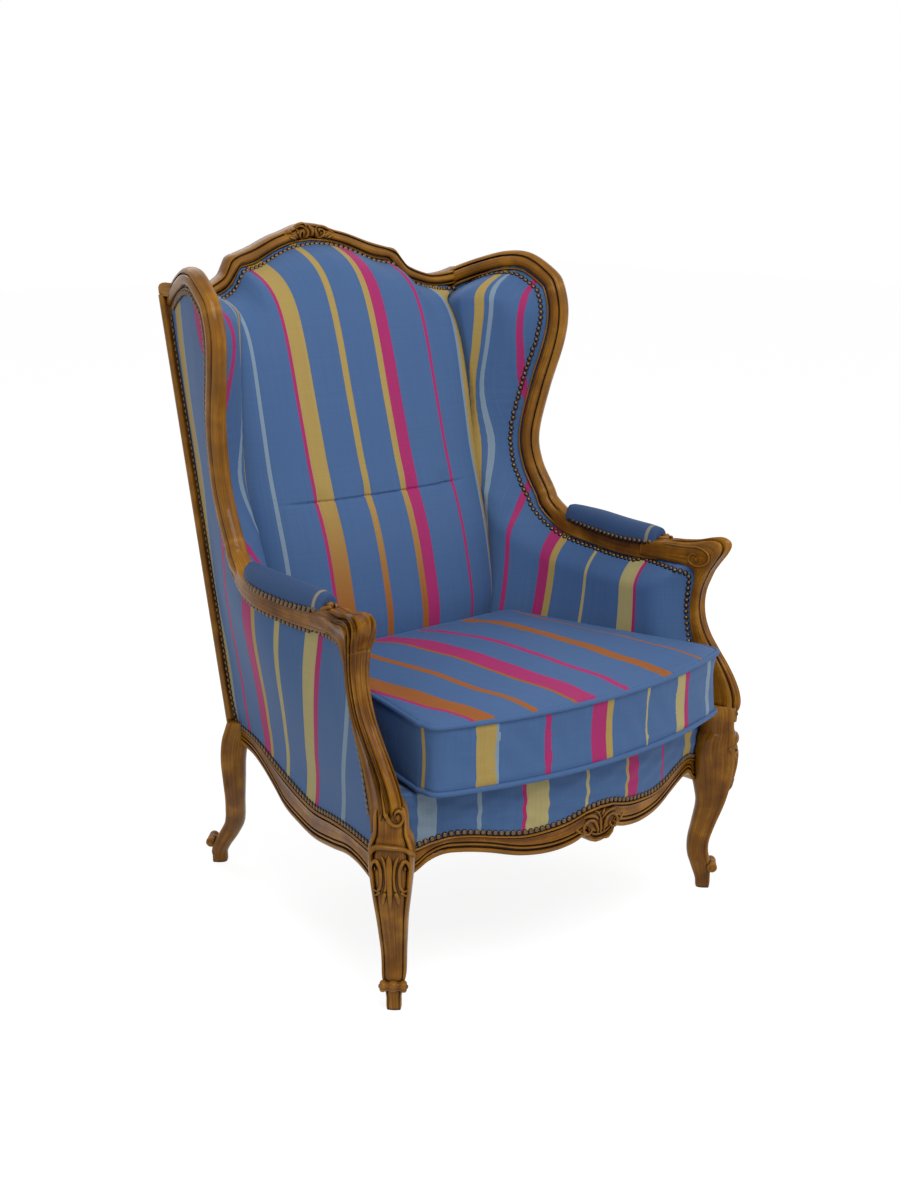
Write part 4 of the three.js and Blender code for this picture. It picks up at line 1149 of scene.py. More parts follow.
ROCAILLE = (
    Stroke(((-2, 1077), (2, 1067), (0.5, 1056)), 8, 5.5, (0.8, 0.6)),
    Stroke(((-54, 1060), (-47, 1065), (-38, 1069)), 8.5, 4.5, (0.3, 0.6)),
    Stroke(((-38, 1061), (-40, 1067), (-33, 1071), (-27, 1067.5), (-29, 1061)), 4.6, 4.4, (0.7, 0.7)),
    Stroke((
        (-30, 1072), (-20.5, 1075), (-11, 1072), (-7.5, 1065), (-10, 1058), (-18.5, 1055), (-24.5, 1060),
        (-22, 1066), (-16.5, 1065),
    ), 5, 5, (0.6, 0.8)),
    bead(-17, 1061, 7.5), Stroke(((-33, 1072), (-21, 1078.5), (-10, 1078), (-5, 1068)), 4.6, 4.2),
    Stroke((
        (8, 1075), (8.6, 1062), (16, 1055.5), (25, 1060), (24.5, 1067), (17.5, 1068.5), (15, 1063),
    ), 5, 5, (0.7, 0.8)),
    bead(19.5, 1062, 6.5), Stroke(((11, 1070), (21, 1073.5), (33, 1070.5), (44, 1064), (51, 1062)), 5.6, 4.6),
    Stroke(((25, 1056), (31, 1060), (37, 1064)), 5, 3.4),
    Stroke(((33, 1054), (40, 1057), (47, 1060)), 4.6, 3.0),
    Stroke(((-30, 1055), (-38, 1056), (-46, 1058)), 4.6, 3.0),
)
ARM_SCROLL = (
    Stroke((
        (108, 571), (84, 571), (62, 571), (38, 572), (22, 565), (19, 553), (30, 543), (46, 543), (54, 552),
        (48, 561), (39, 558),
    ), 4.2, 2.4, (0.5, 0.8)),
    bead(39, 553, 7),
)
ARM_BUD = (Stroke(((0, 108), (0, 117), (0, 126)), 11, 7.5, (0.8, 0.8)),)
ARM_BUD_PAIRS = (Stroke(((3.5, 104), (9, 113), (12, 123)), 6, 5, (0.6, 0.6)),)
TOE = (
    (-21.5, 1.0), (-21, 2.6), (-19.8, 3.0), (-19.4, 6.2), (-17.6, 8.4), (-13.5, 8.8), (-10, 7.0), (-6.5, 6.4),
    (-4.5, 7.6), (0, 8.6), (4.5, 7.6), (6.5, 6.4), (10, 7.0), (13.5, 8.8), (17.6, 8.4), (19.4, 6.2),
    (19.8, 3.0), (21, 2.6), (21.5, 1.0),
)


@dataclass
class ShowWood:
    """The carved frame: posts, rails, crest, wings, arms, supports and legs.

    Attributes:
        lines: the chair's lines.
        wood: the varnished finish.
        raw: the finish of sawn wood.
        joint_lap: how far members run into each other at a joint.
        wing_root: how far a wing's top runs back over its post.
        leg_shift: how far a front leg's middle lies to the front of its foot's place.
        toe_z: the height of a toe's middle.
        toe_out: how far a toe lies beyond the middle of its foot.
        arm_short: how many knots before the line's end the arm's moulding gives way to its head.
        flat_from: shares of the arm's run between which its faces go flat.
        flutes: how many run side by side, with `head_flute` and `support_flute` for their depth.
        flutes_from: shares of the head's run between which its flutes deepen.
        scroll_level: as the other levels, where a stroke of that view lies off the wood.
        bud_place: how far back and how high the bud's view has its middle.
        rail_drop: how far the wood of the rails stops short of their full height.
        rear_leg_rows: height, x, back and half size in millimetres of each ring.
        front_leg_rows: height, then outer, inner and half width in millimetres of each ring.
        stile: the post's section, and `rear_rail_edge` and `crest_section` those of their rails.
        block_outline: the corner block from above, and `block_rings` its heights and insets.
    """

    lines: ChairLines
    wood: Material
    raw: Material
    joint_lap: float = 0.0003
    arm_short: float = 1.15
    flat_from: tuple[float, float] = (0.1, 0.2)
    flutes: int = 7
    head_flute: float = 0.24
    flutes_from: tuple[float, float] = (0.12, 0.5)
    support_flute: float = 0.2
    scroll_level: float = -0.32
    bud_place: tuple[float, float] = (0.1, 0.57)
    bud_level: float = 0.575
    knee_level: float = 0.04
    rocaille_level: float = -0.002
    rail_drop: float = 0.0005
    wing_root: float = 0.026
    leg_shift: float = -0.0045
    toe_z: float = 0.039
    toe_out: float = 0.013
    arm_depth: Graph = drawn((0, 1.0), (0.35, 1.28), (0.75, 1.3), (1, 1.36))
    head_half: Graph = drawn(
        (0, 0.0195), (0.35, 0.021), (0.6, 0.0232), (0.78, 0.0238), (0.9, 0.0225), (1, 0.0195),
    )
    support_half: Graph = drawn(
        (0, 0.0192), (0.15, 0.0172), (0.35, 0.0165), (0.6, 0.017), (0.8, 0.0185), (1, 0.02),
    )
    head_rows: tuple = (
        (0.150, 0.541, 0.148, 0.5705), (0.128, 0.540, 0.124, 0.5735), (0.104, 0.5385, 0.1, 0.577),
        (0.084, 0.537, 0.078, 0.578), (0.068, 0.535, 0.055, 0.5805), (0.06, 0.533, 0.036, 0.5855),
        (0.056, 0.53, 0.019, 0.588), (0.054, 0.527, 0.0075, 0.5845), (0.053, 0.524, 0.0035, 0.576),
        (0.0525, 0.52, 0.008, 0.563), (0.052, 0.516, 0.018, 0.547), (0.052, 0.511, 0.0255, 0.534),
    )
    support_rows: tuple = (
        (0.052, 0.5105, 0.026, 0.5335), (0.0535, 0.502, 0.0315, 0.518), (0.055, 0.488, 0.037, 0.4985),
        (0.0555, 0.468, 0.038, 0.476), (0.053, 0.446, 0.0335, 0.452), (0.047, 0.422, 0.0225, 0.428),
        (0.039, 0.398, 0.005, 0.404), (0.03, 0.374, -0.015, 0.379), (0.023, 0.351, -0.0305, 0.3555),
        (0.018, 0.33, -0.04, 0.334), (0.015, 0.312, -0.0415, 0.316), (0.013, 0.296, -0.033, 0.304),
        (0.011, 0.283, -0.024, 0.293), (0.01, 0.2745, -0.02, 0.2745),
    )
    front_leg_rows: tuple = (
        (0.32, 36, -8, 19), (0.308, 40.5, -13, 23.5), (0.29, 40.5, -16, 24.5), (0.279, 41, -17, 25.5),
        (0.271, 43.5, -25, 29), (0.262, 43.5, -31, 31.5), (0.245, 43.5, -33, 32.5), (0.225, 44, -31, 31.5),
        (0.2, 41, -26, 29), (0.174, 36, -20, 26), (0.149, 29, -17, 23), (0.114, 16, -23, 20.4),
        (0.0885, 8, -28, 18.8), (0.069, 6, -29, 18.2), (0.055, 8, -27, 17.8), (0.046, 10, -24, 16.6),
        (0.034, 11, -20, 13.2), (0.02, 11, -15, 11), (0.012, 11, -13, 11), (0.004, 10.6, -12.6, 10.8),
        (0, 9.6, -11.6, 10),
    )
    rear_leg_rows: tuple = (
        (0, 0.211, 0.622, 11.5), (0.004, 0.211, 0.622, 12.6), (0.012, 0.211, 0.622, 12.4),
        (0.02, 0.2115, 0.6215, 13.6), (0.034, 0.2115, 0.6135, 15.2), (0.05, 0.209, 0.6025, 16.4),
        (0.065, 0.2075, 0.592, 16.8), (0.09, 0.2105, 0.573, 16.2), (0.137, 0.226, 0.548, 16),
        (0.18, 0.238, 0.531, 18), (0.225, 0.2465, 0.519, 20), (0.262, 0.2475, 0.509, 21.5),
        (0.292, 0.2425, 0.5, 21.5),
    )
    stile: tuple = (
        (-20, -12), (9.5, -12), (9.5, 8), (10.5, 9.5), (14, 10.5), (17.5, 11), (19.5, 13), (20.5, 16),
        (20, 20), (17, 22.5), (12, 23), (9, 21.5), (6, 22), (-16, 22), (-20, 18),
    )
    rear_rail_back: float = 0.4852
    rear_rail_half: float = 0.2395
    rear_rail_low: tuple[float, float] = (0.236, 0.257)
    rear_rail_edge: tuple = ((0, 0.06), (0.002, 0), (0.024, 0), (0.0258, 0.06), (0.0258, 1), (0, 1))
    block_outline: tuple = (
        (0.2385, 0.219), (0.2385, 0.118), (0.229, 0.115), (0.205, 0.155), (0.175, 0.186), (0.136, 0.207),
        (0.138, 0.219),
    )
    block_rings: tuple = ((0.2625, 0.0025), (0.265, 0.0), (0.287, 0.0), (0.2895, 0.0025))
    crest_section: tuple = (
        (0.0, 0.3), (0.0, 0.12), (0.04, 0.04), (0.11, 0.02), (0.15, 0.05), (0.18, 0.17), (0.24, 0.17),
        (0.28, 0.03), (0.4, -0.02), (0.55, -0.04), (0.68, 0.0), (0.74, 0.05), (0.77, 0.17), (0.82, 0.17),
        (0.85, 0.06), (0.91, 0.05), (0.97, 0.12), (1.0, 0.3), (1.0, 0.6), (0.94, 0.8), (0.8, 0.93),
        (0.6, 1.0), (0.16, 1.0), (0.02, 0.9), (0.0, 0.7),
    )

    def show(self, name: str, node: str, patches: Sequence[Patch], slot: str = "walnut") -> None:
        """Makes one closed piece.

        Args:
            name: the piece's name.
            node: the node that it stands for.
            patches: its parts.
            slot: the slot of its finish: walnut for show wood, beech for sawn wood.
        """
        piece = build_mesh(name, patches, self.wood if slot == "walnut" else self.raw)
        face_outwards(piece)
        seat_piece(piece, [node])

    def show_both(
        self, name: str, patches: Sequence[Patch], word: str = "carved", slot: str = "walnut"
    ) -> None:
        """Makes a piece for each side.

        Args:
            name: the node's name without its side.
            patches: its parts, drawn for the right.
            word: joins the name and the side in the piece's name.
            slot: as for one piece.
        """
        for side in Side:
            parts = [part.on(side) for part in patches]
            self.show(f"{name}_{word}_{side.word}", f"{name}_{side.word}", parts, slot)

    def side_normal(self, points: Array) -> Array:
        """The directions square to the chair's side at points of it."""
        return slope_normals(self.lines.side_x, points[:, 1], points[:, 2])

    def member(self, start: float, end: float, count: int, depth: Graph | None = None) -> Patch:
        """A moulded member along the side's line.

        Args:
            start: the knot of the line that it starts at; the first one is lengthened to its root.
            end: the knot that it ends at.
            count: rings along it.
            depth: how much deeper it grows along its run; its faces are then flat behind its start.

        Returns:
            The closed patch.
        """
        points = self.lines.member(start, end, count)
        if start == 0:
            root = points[0] + unit(points[0] - points[3]) * self.wing_root
            points = np.concatenate([np.linspace(root, points[0], 6)[:-1], points])
        points[0] -= unit(points[1] - points[0]) * self.joint_lap
        points[-1] -= unit(points[-2] - points[-1]) * self.joint_lap
        scale = None
        section = face_profile(*self.lines.wood_half)
        if depth is not None:
            share = np.linspace(0, 1, count)
            scale = stacked(1.0, depth(share))
            flat = ease(*self.flat_from, share)[:, None, None]
            section = lerp(section, face_profile(*self.lines.wood_half, plain=True), flat)
        return sweep(points, self.side_normal(points), section, scale)

    def on_rows(self, rows: Sequence[Sequence[float]], half_wide: Graph, section: Array, count: int) -> Patch:
        """A member given by its inner and outer edge.

        Args:
            rows: inner back, inner height, outer back and outer height of each ring.
            half_wide: half its thickness against the share of its length.
            section: pairs of reach and side, for all rings or for each.
            count: rings along it.

        Returns:
            The closed patch.
        """
        table = curve_through(rows, count)
        from_feet = self.lines.from_feet
        inner = self.lines.on_side(from_feet(table[:, 0]), table[:, 1])
        outer = self.lines.on_side(from_feet(table[:, 2]), table[:, 3])
        normal = self.side_normal((inner + outer) / 2)
        half = half_wide(np.linspace(0, 1, count))[:, None, None]
        reach, side = section[..., :1], section[..., 1:]
        return solid(inner[:, None] + reach * (outer - inner)[:, None] + side * half * normal[:, None])

    def wings(self) -> None:
        """Wing tops, wing posts and arms, one moulding broken only at its joints."""
        lines = self.lines
        self.show_both("wing_top", [self.member(0.0, lines.wing_top_end, 60)])
        self.show_both("wing_post", [self.member(lines.wing_top_end, lines.wing_post_end, 90)])
        arm = self.member(lines.wing_post_end, lines.arm_end - self.arm_short, 90, self.arm_depth)
        self.show_both("arm", [arm, *self.head()])

    def head(self) -> list[Patch]:
        """The arm's scrolled head: flutes over its end, a scroll inside it and a bud behind it."""
        lines = self.lines
        rings = 60
        fade = ease(*self.flutes_from, np.linspace(0, 1, rings))[:, None, None]
        section = lerp(fluted(self.flutes, 0.0), fluted(self.flutes, self.head_flute), fade)
        body = self.on_rows(self.head_rows, self.head_half, section, rings)
        feet = AHEAD * -lines.front_feet_y
        bud_x = float(lines.side_x(lines.from_feet(self.bud_place[0]), self.bud_place[1]))
        inner = Easel([body], feet, AHEAD, -ACROSS, self.scroll_level)
        over = Easel([body], feet + bud_x * ACROSS, ACROSS, UP, self.bud_level)
        scroll = [stroke.flipped() for stroke in ARM_SCROLL]
        return [body, *inner.carve(scroll), *over.carve(ARM_BUD, ARM_BUD_PAIRS)]

    def supports(self) -> None:
        """Arm supports with flutes down their fronts, swelling to a scroll at the foot."""
        body = self.on_rows(self.support_rows, self.support_half, fluted(self.flutes, self.support_flute), 90)
        self.show_both("arm_support", [body, *self.leg_view([body, self.front_leg()]).carve(SUPPORT_SCROLL)])

    def posts(self) -> None:
        """Rear legs and the posts above them; the covers lap the posts down to a rear bead."""
        lines = self.lines
        z, x, back, half = curve_through(self.rear_leg_rows, 60).T[..., None]
        aside, out = self.leg_section().T[..., None]
        centre = stacked(x, lines.from_feet(back), z)
        half = half[..., None] / 1000
        leg = solid(centre + aside * half * FRONT_CORNER + out * half * REAR_CORNER)
        z = np.linspace(lines.rail_z[1] - 0.004, lines.post_top_z - 0.0005, 40)[:, None]
        post_x, post_y = lines.post_at(z)
        stile_x, stile_y = np.array(self.stile).T / 1000
        post = solid(stacked(post_x + stile_x, post_y + stile_y, z))
        foot = np.array([lines.rear_foot_x, lines.from_feet(lines.feet_apart_y), 0])
        self.show_both("rear_post", [leg, post, self.toe(foot, FRONT_CORNER, REAR_CORNER)])

    def toe(self, foot: Array, side_way: Array, out_way: Array) -> Patch:
        """The rolled toe of a leg.

        Args:
            foot: the middle of the foot on the floor.
            side_way: the direction along the roll.
            out_way: the direction that the toe points in.

        Returns:
            The closed patch.
        """
        along, radius = np.array(TOE).T[..., None, None] / 1000
        turn = np.linspace(0, 2 * math.pi, 25)[:-1, None]
        centre = foot + out_way * self.toe_out + UP * self.toe_z
        return solid(centre + along * side_way + radius * (np.cos(turn) * out_way + np.sin(turn) * UP))

    def front_foot(self) -> Array:
        """The middle of the right front foot on the floor."""
        return np.array([self.lines.front_foot_x, self.lines.front_feet_y, 0]) + REAR_CORNER * self.leg_shift

    def leg_view(self, pieces: Sequence[Patch]) -> Easel:
        """The view of the right front corner, square to the leg's canted face."""
        return Easel(pieces, self.front_foot(), REAR_CORNER, FRONT_CORNER, self.knee_level)

    @staticmethod
    def leg_section() -> Array:
        """A leg's section for half sizes of 1: a canted front between beads, narrowing to the rear."""
        right = [
            (0.0, 1.04), (0.3, 1.03), (0.56, 0.99), (0.68, 0.93), (0.72, 0.86), (0.76, 0.92), (0.84, 0.96),
            (0.93, 0.9), (0.98, 0.78), (0.95, 0.66), (0.93, 0.6), (0.99, 0.45), (1.0, 0.1), (0.94, -0.3),
            (0.82, -0.65), (0.6, -0.9), (0.3, -1.0),
        ]
        left = [(-x, y) for x, y in right[1:]][::-1]
        return np.array([*right, (0.0, -1.02), *left])

    def front_leg(self) -> Patch:
        """One cabriole leg, its canted front turned to the corner."""
        rows = np.array(self.front_leg_rows) / (1, 1000, 1000, 1000)
        z, outer, inner, wide = curve_through(rows, 120).T[..., None]
        aside, out = self.leg_section().T
        reach = (outer + inner) / 2 + out * (outer - inner) / 2
        grid = self.front_foot() + reach[..., None] * FRONT_CORNER + (aside * wide)[..., None] * REAR_CORNER
        grid[..., 2] = z
        return solid(grid)

    def front_legs(self) -> None:
        """Both front legs."""
        body = self.front_leg()
        toe = self.toe(self.front_foot(), REAR_CORNER, FRONT_CORNER)
        self.show_both("front_leg", [body, toe, *self.leg_view([body]).carve((*KNEE, *COLLAR), KNEE_PAIRS)])

    def rail_profile(self, low: Array, high: Array) -> tuple[Array, Array]:
        """The moulded rail section at each station.

        Args:
            low: heights of the lower edge.
            high: heights of the moulding's upper edge.

        Returns:
            How far each point lies inside the face, and its height at each station.
        """
        beads = [
            (0.03, 0), (0.005, 0), (0.0008, 0.0014), (-0.0012, 0.0048), (-0.0006, 0.0078), (0.0036, 0.0092),
            (0.0038, 0.0108), (-0.0002, 0.0122), (-0.0002, 0.0146), (0.003, 0.0158), (0.003, 0.0168),
            (0.0002, 0.018),
        ]
        broad = [
            (0.0012, 0.25), (0.0018, 0.5), (0.0014, 0.72), (0.0006, 0.82), (0.0034, 0.87), (0.0034, 0.92),
            (0.0, 0.97),
        ]
        lip = [(-0.0006, -0.003), (0.0, -0.0012), (0.0022, 0), (0.011, 0.0004)]
        broad_low, broad_high = low + beads[-1][1], high + lip[0][1]
        heights = [low + up for _, up in beads]
        heights += [lerp(broad_low, broad_high, share) for _, share in broad]
        heights += [high + up for _, up in lip]
        heights += [self.lines.rail_z[1] - self.rail_drop] * 2
        inside = [way for way, _ in beads + broad + lip] + [0.0112, self.lines.rail_thick - 0.001]
        return np.array(inside), stacked(*heights)

    def front_rail(self) -> None:
        """The bowed front rail with its shaped and moulded lower edge."""
        lines = self.lines
        run = np.linspace(-1.03, 1.03, 181)
        x = run * lines.front_rail_half
        inside, z = self.rail_profile(lines.front_lip(np.abs(x)), lines.front_high(np.abs(run)))
        body = solid(stacked(x[:, None], lines.front_face_y(x)[:, None] + inside, z))
        view = Easel([body], AHEAD * -lines.front_feet_y, ACROSS, AHEAD, lines.front_rail_bow)
        self.show("front_rail_carved", "front_rail", [body, *view.carve(CARTOUCHE, CARTOUCHE_PAIRS)])

    def side_rails(self) -> None:
        """The side rails, rising to the rear."""
        lines = self.lines
        share = np.linspace(0.02, 1.0, 110)
        y = lines.from_feet(lerp(*lines.side_rail_run, share))[:, None]
        inside, z = self.rail_profile(lines.side_low(share), lines.side_high(share))
        self.show_both("side_rail", [solid(stacked(lines.side_face_x(y) - inside, y, z))])

    def rear_frame(self) -> None:
        """The rear rail and its corner blocks, cut away below like the rails beside them."""
        lines = self.lines
        across = np.linspace(-1, 1, 41)[:, None]
        low = lerp(*self.rear_rail_low, np.abs(across) ** 3)
        back, up = np.array(self.rear_rail_edge).T
        y = lines.from_feet(self.rear_rail_back) + back
        rail = stacked(across * self.rear_rail_half, y, lerp(low, lines.rail_z[1] - self.rail_drop, up))
        self.show("rear_rail_shaped", "rear_rail", [solid(rail)])
        outline = np.array(self.block_outline)
        inwards = unit(outline.mean(axis=0) - outline)
        rings = [np.insert(outline + inwards * inset, 2, z, axis=1) for z, inset in self.block_rings]
        self.show_both("rear_corner_block", [solid(np.array(rings))], "shaped", "beech")

    def crest(self) -> None:
        """The crest rail: a moulding between its two shaped edges, bowed to the rear."""
        lines = self.lines
        x = np.linspace(-1, 1, 241)[:, None] * (lines.crest_half - 0.0005)
        up, back = np.array(self.crest_section).T
        z = lerp(lines.crest_low(x), lines.crest_top(x), up)
        body = solid(stacked(x, lerp(lines.crest_front_y(x, z), lines.crest_rear_y(x, z), back), z))
        top_y = float(lines.crest_front_y(0.0, lines.height))
        view = Easel([body], AHEAD * -top_y, ACROSS, AHEAD, self.rocaille_level)
        self.show("crest_rail_carved", "crest_rail", [body, *view.carve(ROCAILLE)])

    def build(self) -> None:
        """Makes the whole frame."""
        self.wings()
        self.supports()
        self.posts()
        self.front_legs()
        self.front_rail()
        self.side_rails()
        self.rear_frame()
        self.crest()


# Upholstery


@dataclass
class Upholstery:
    """Stuffed pads and tight covers of the back, wings, arms, seat deck and outside.

    Attributes:
        lines: the chair's lines.
        back: satin of the inside back.
        inner: satin of the inner sides.
        outer: satin of the outer sides.
        front: satin of the seat's front border.
        rear: satin of the outside back.
        pad_rise: how proud of the side's middle the inner cover is stuffed, `corner_fill` more in the
            rear corner between the places `corner_back`, and `wing_fill` more in the wing between
            `wing_fill_z` and `wing_fill_y`.
        pad_sink: how far inside the side's middle the inner cover is tacked.
        pad_round: the width of its rounded edge.
        pad_tail: how far it runs on behind the back's face.
        panel_out: how far outside the side's middle the outer cover lies.
        seat_back: the back's face at its foot, leaning back by `back_lean` up to the crest.
        back_crown: how far its sides, at `crown_half`, lie behind its middle.
        back_roll: the height of its roll under the crest, which it meets by `crest_sink`.
        seam_z: the height of its sewn crease.
        welt_z: where its lean is measured from.
        inner_lean: how far the stripes of the inner cover lie back against height, as do the other
            leans for the front, middle and rear of the outer one.
    """

    lines: ChairLines
    back: Material
    inner: Material
    outer: Material
    front: Material
    rear: Material
    pad_rise: float = 0.034
    corner_fill: float = 0.021
    corner_back: tuple[float, float] = (0.34, 0.41)
    wing_fill: float = 0.025
    wing_fill_z: tuple[float, float] = (0.75, 0.971)
    wing_fill_y: tuple[float, float] = (0.168, 0.232)
    pad_sink: float = 0.009
    pad_round: float = 0.045
    pad_tail: float = 0.07
    pad_clear: float = 0.005
    panel_out: float = 0.0112
    panel_lap: float = 0.004
    post_lap: float = 0.0085
    lap_gap: tuple[float, float] = (0.011, 0.0175)
    panel_fall: tuple[float, float] = (0.235, 0.34)
    top_share: float = 0.992
    rear_low_z: float = 0.262
    back_tuck: float = 0.3
    deck_edge: float = 0.007
    deck_roll: float = 0.0062
    deck_top_z: float = 0.3195
    seat_back: float = 0.362
    back_lean: float = 0.136
    back_crown: float = 0.047
    crown_half: float = 0.24
    back_roll: float = 0.02
    crest_sink: float = 0.006
    seam_z: float = 0.651
    pull_x: tuple[float, ...] = (-0.13, -0.04, 0.05, 0.13)
    welt_z: float = 0.425
    lean_graph: Graph = drawn(
        (0, 0), (0.065, 0), (0.175, 0.08), (0.286, 0.19), (0.397, 0.346), (0.507, 0.507), (0.618, 0.632),
        (0.729, 0.75), (0.84, 0.853), (1, 1),
    )
    crown_graph: Graph = drawn(
        (0, 1), (0.14, 0.96), (0.32, 0.87), (0.5, 0.64), (0.69, 0.36), (0.88, 0.1), (1, 0),
    )
    inner_lean: Graph = drawn(
        (0.4, 0.118), (0.44, 0.119), (0.5, 0.1225), (0.6, 0.1315), (0.7, 0.145), (0.8, 0.156), (0.88, 0.148),
        (0.95, 0.145), (1, 0.155),
    )
    middle_lean: Graph = drawn(
        (0.3, 0.005), (0.4, 0), (0.52, -0.007), (0.585, -0.022), (0.7, -0.03), (0.85, -0.042),
        (0.955, -0.018),
    )
    rear_lean: Graph = drawn(
        (0.3, -0.021), (0.4, -0.0155), (0.5, 0.008), (0.6, 0.008), (0.7, -0.004), (0.82, 0.007), (0.95, 0.01),
    )
    front_lean: float = -0.26

    def outer_lean(self, y: Array, z: Array) -> Array:
        """How far the outer cover's stripes stray to the rear, as they fan out downwards."""
        low = lerp(self.front_lean * (z - 0.4), self.middle_lean(z), ease(0.05, 0.17, y))
        return lerp(low, self.rear_lean(z), ease(0.17, 0.25, y))

    def back_face_y(self, x: Array | float, z: Array) -> Array:
        """The y of the back's face without its sewn crease and its roll under the crest."""
        up = (z - self.welt_z) / (self.lines.shoulder_z - self.welt_z)
        crown = self.back_crown * np.maximum(self.crown_graph(up), 0) * (x / self.crown_half) ** 4
        return self.lines.from_feet(self.seat_back + self.back_lean * self.lean_graph(up)) + crown

    def pad_x(self, y: Array, z: Array) -> Array:
        """The x of the stuffed inner face of wing and arm.

        Args:
            y: places on the side.
            z: their heights.

        Returns:
            The x of each place.
        """
        lines = self.lines
        seen_y = np.minimum(y, self.back_face_y(self.crown_half, z))
        corner = self.corner_fill * ease(*(lines.from_feet(back) for back in self.corner_back), seen_y)
        upper = self.wing_fill * ease(*self.wing_fill_z, z) * ease(*self.wing_fill_y, seen_y)
        fade = 1 - (1 - np.minimum(lines.inside_edge(y, z) / self.pad_round, 1)) ** 2
        stuffing = self.pad_rise + corner + upper + self.puckers(y, z)
        return lines.side_x(seen_y, z) - self.pad_sink - stuffing * fade

    def puckers(self, y: Array, z: Array) -> Array:
        """Low folds where the cover is pulled round the wing's waist and the arm's front.

        Args:
            y: places on the side.
            z: their heights.

        Returns:
            How far each place is raised.
        """
        back = y - self.lines.front_feet_y
        waist = bell(z - 0.76 - 0.1 * (back - 0.45), 0.05) * ease(0.40, 0.52, back)
        folds = ripple(z + 0.22 * back, pitch=0.021)
        low = bell(z - 0.62, 0.04) * bell(back - 0.44, 0.05)
        bow = ripple(z - 0.5 * back, pitch=0.03)
        return 0.0011 * waist * folds + 0.0007 * low * bow

    def panel_x(self, y: Array, z: Array) -> Array:
        """The x of the tight outer cover, drawn in below to meet the side rail.

        Args:
            y: places on the side.
            z: their heights.

        Returns:
            The x of each place.
        """
        lines = self.lines
        lap = lerp(self.panel_lap, self.panel_out, ease(*self.lap_gap, lines.wood_gap(y, z)))
        upper = lines.side_x(y, z) + lap + 0.002 * np.minimum(lines.inside_edge(y, z) / 0.06, 1)
        lower = lines.side_face_x(y) - 0.0042
        return lerp(lower, upper, ease(*self.panel_fall, z))

    def side_grid(self, columns: int) -> tuple[Array, Array]:
        """A grid of y and z over the side's opening, from the seat rail to the wing's top.

        Args:
            columns: how many there are from front to rear.

        Returns:
            The grid's y and its z.
        """
        lines = self.lines
        foot, top = lines.wing_foot_z, lines.arm_z + self.top_share * lines.wing_high
        places = (lines.rail_z[1] + 0.0005, lines.arm_under_z, foot, lerp(foot, top, 0.9), top)
        z = steps(places, (56, 14, 70, 18))[:, None]
        y = lerp(lines.slice_front(z), lines.slice_rear(z), np.linspace(0, 1, columns))
        return y, np.repeat(z, columns, axis=1)

    def pads(self) -> None:
        """The inner covers of wings and arms."""
        y, z = self.side_grid(SIDE_COLUMNS)
        y = np.minimum(y, self.back_face_y(self.crown_half, z) + self.pad_tail)
        x = np.minimum(self.pad_x(y, z), self.lines.side_x(y, z) - self.pad_clear)
        patch = Patch(stacked(x, y, z), stacked(y - self.inner_lean(z), z))
        for side in Side:
            piece = build_mesh(f"side_pad_cover_{side.word}", [patch.on(side)], self.inner)
            seat_piece(piece, [f"side_pad_{side.word}"])

    def panels(self) -> None:
        """The outer covers, down to the side rail's moulding."""
        lines = self.lines
        _, z = self.side_grid(SIDE_COLUMNS)
        root_z = lines.side_line[0, 2]
        up = ease(root_z - 0.034, root_z - 0.018, z)
        rear = lerp(lines.post_at(z)[1] + self.post_lap, lines.slice_rear(z), up)
        y = lerp(lines.slice_front(z), rear, np.linspace(0, 1, SIDE_COLUMNS))
        rail_edge = lines.side_high(np.clip(lines.side_run(y), 0.0, 1.0)) - 0.001
        low_z = z + (rail_edge - lines.rail_z[1]) * (1 - ease(lines.rail_z[1], 0.46, z))
        points = stacked(self.panel_x(y, low_z), y, low_z)
        patch = Patch(points, stacked(y - self.outer_lean(y, low_z), z))
        for side in Side:
            piece = build_mesh(f"side_panel_cover_{side.word}", [patch.on(side)], self.outer)
            seat_piece(piece, [f"side_panel_{side.word}"])

    def tuck_z(self, x: Array) -> Array:
        """How far up the back's cover runs behind the crest."""
        return lerp(self.lines.crest_low(x), self.lines.crest_top(x), self.back_tuck)

    def back_y(self, x: Array, z: Array) -> Array:
        """The y of the stuffed back's front face.

        Args:
            x: places across the back.
            z: their heights.

        Returns:
            The y of each place.
        """
        lines = self.lines
        fuller = 1 - 0.6 * np.minimum(np.abs(x) / self.crown_half, 1) ** 4
        below = np.maximum(lines.crest_low(x) - z, 0) / fuller
        crest_y = lines.crest_front_y(x, self.tuck_z(x)) + self.crest_sink
        rolled = 0.65 * np.exp(-below / self.back_roll) + 0.35 * np.exp(-below / (3 * self.back_roll))
        face = lerp(self.back_face_y(x, z), crest_y, rolled)
        from_seam = z - self.seam_z - 0.002 * (x / 0.2) ** 2
        reach = 1 - ease(0.15, 0.2, np.abs(x + 0.01))
        slit = 0.0035 * bell(from_seam, 0.0018) + 0.0016 * bell(from_seam, 0.02)
        pulls = sum(0.003 * bell(x - spot, 0.012) * bell(from_seam, 0.016) for spot in self.pull_x)
        return face + (slit + pulls) * reach

    def back_edge(self, z: Array) -> Array:
        """Half the back's width at height z, where it meets the side pads.

        Args:
            z: heights.

        Returns:
            Half the width at each height.
        """
        half = np.full_like(z, self.crown_half)
        for _ in range(6):
            half = lerp(half, self.pad_x(self.back_y(half, z), z), 0.7)
        return half

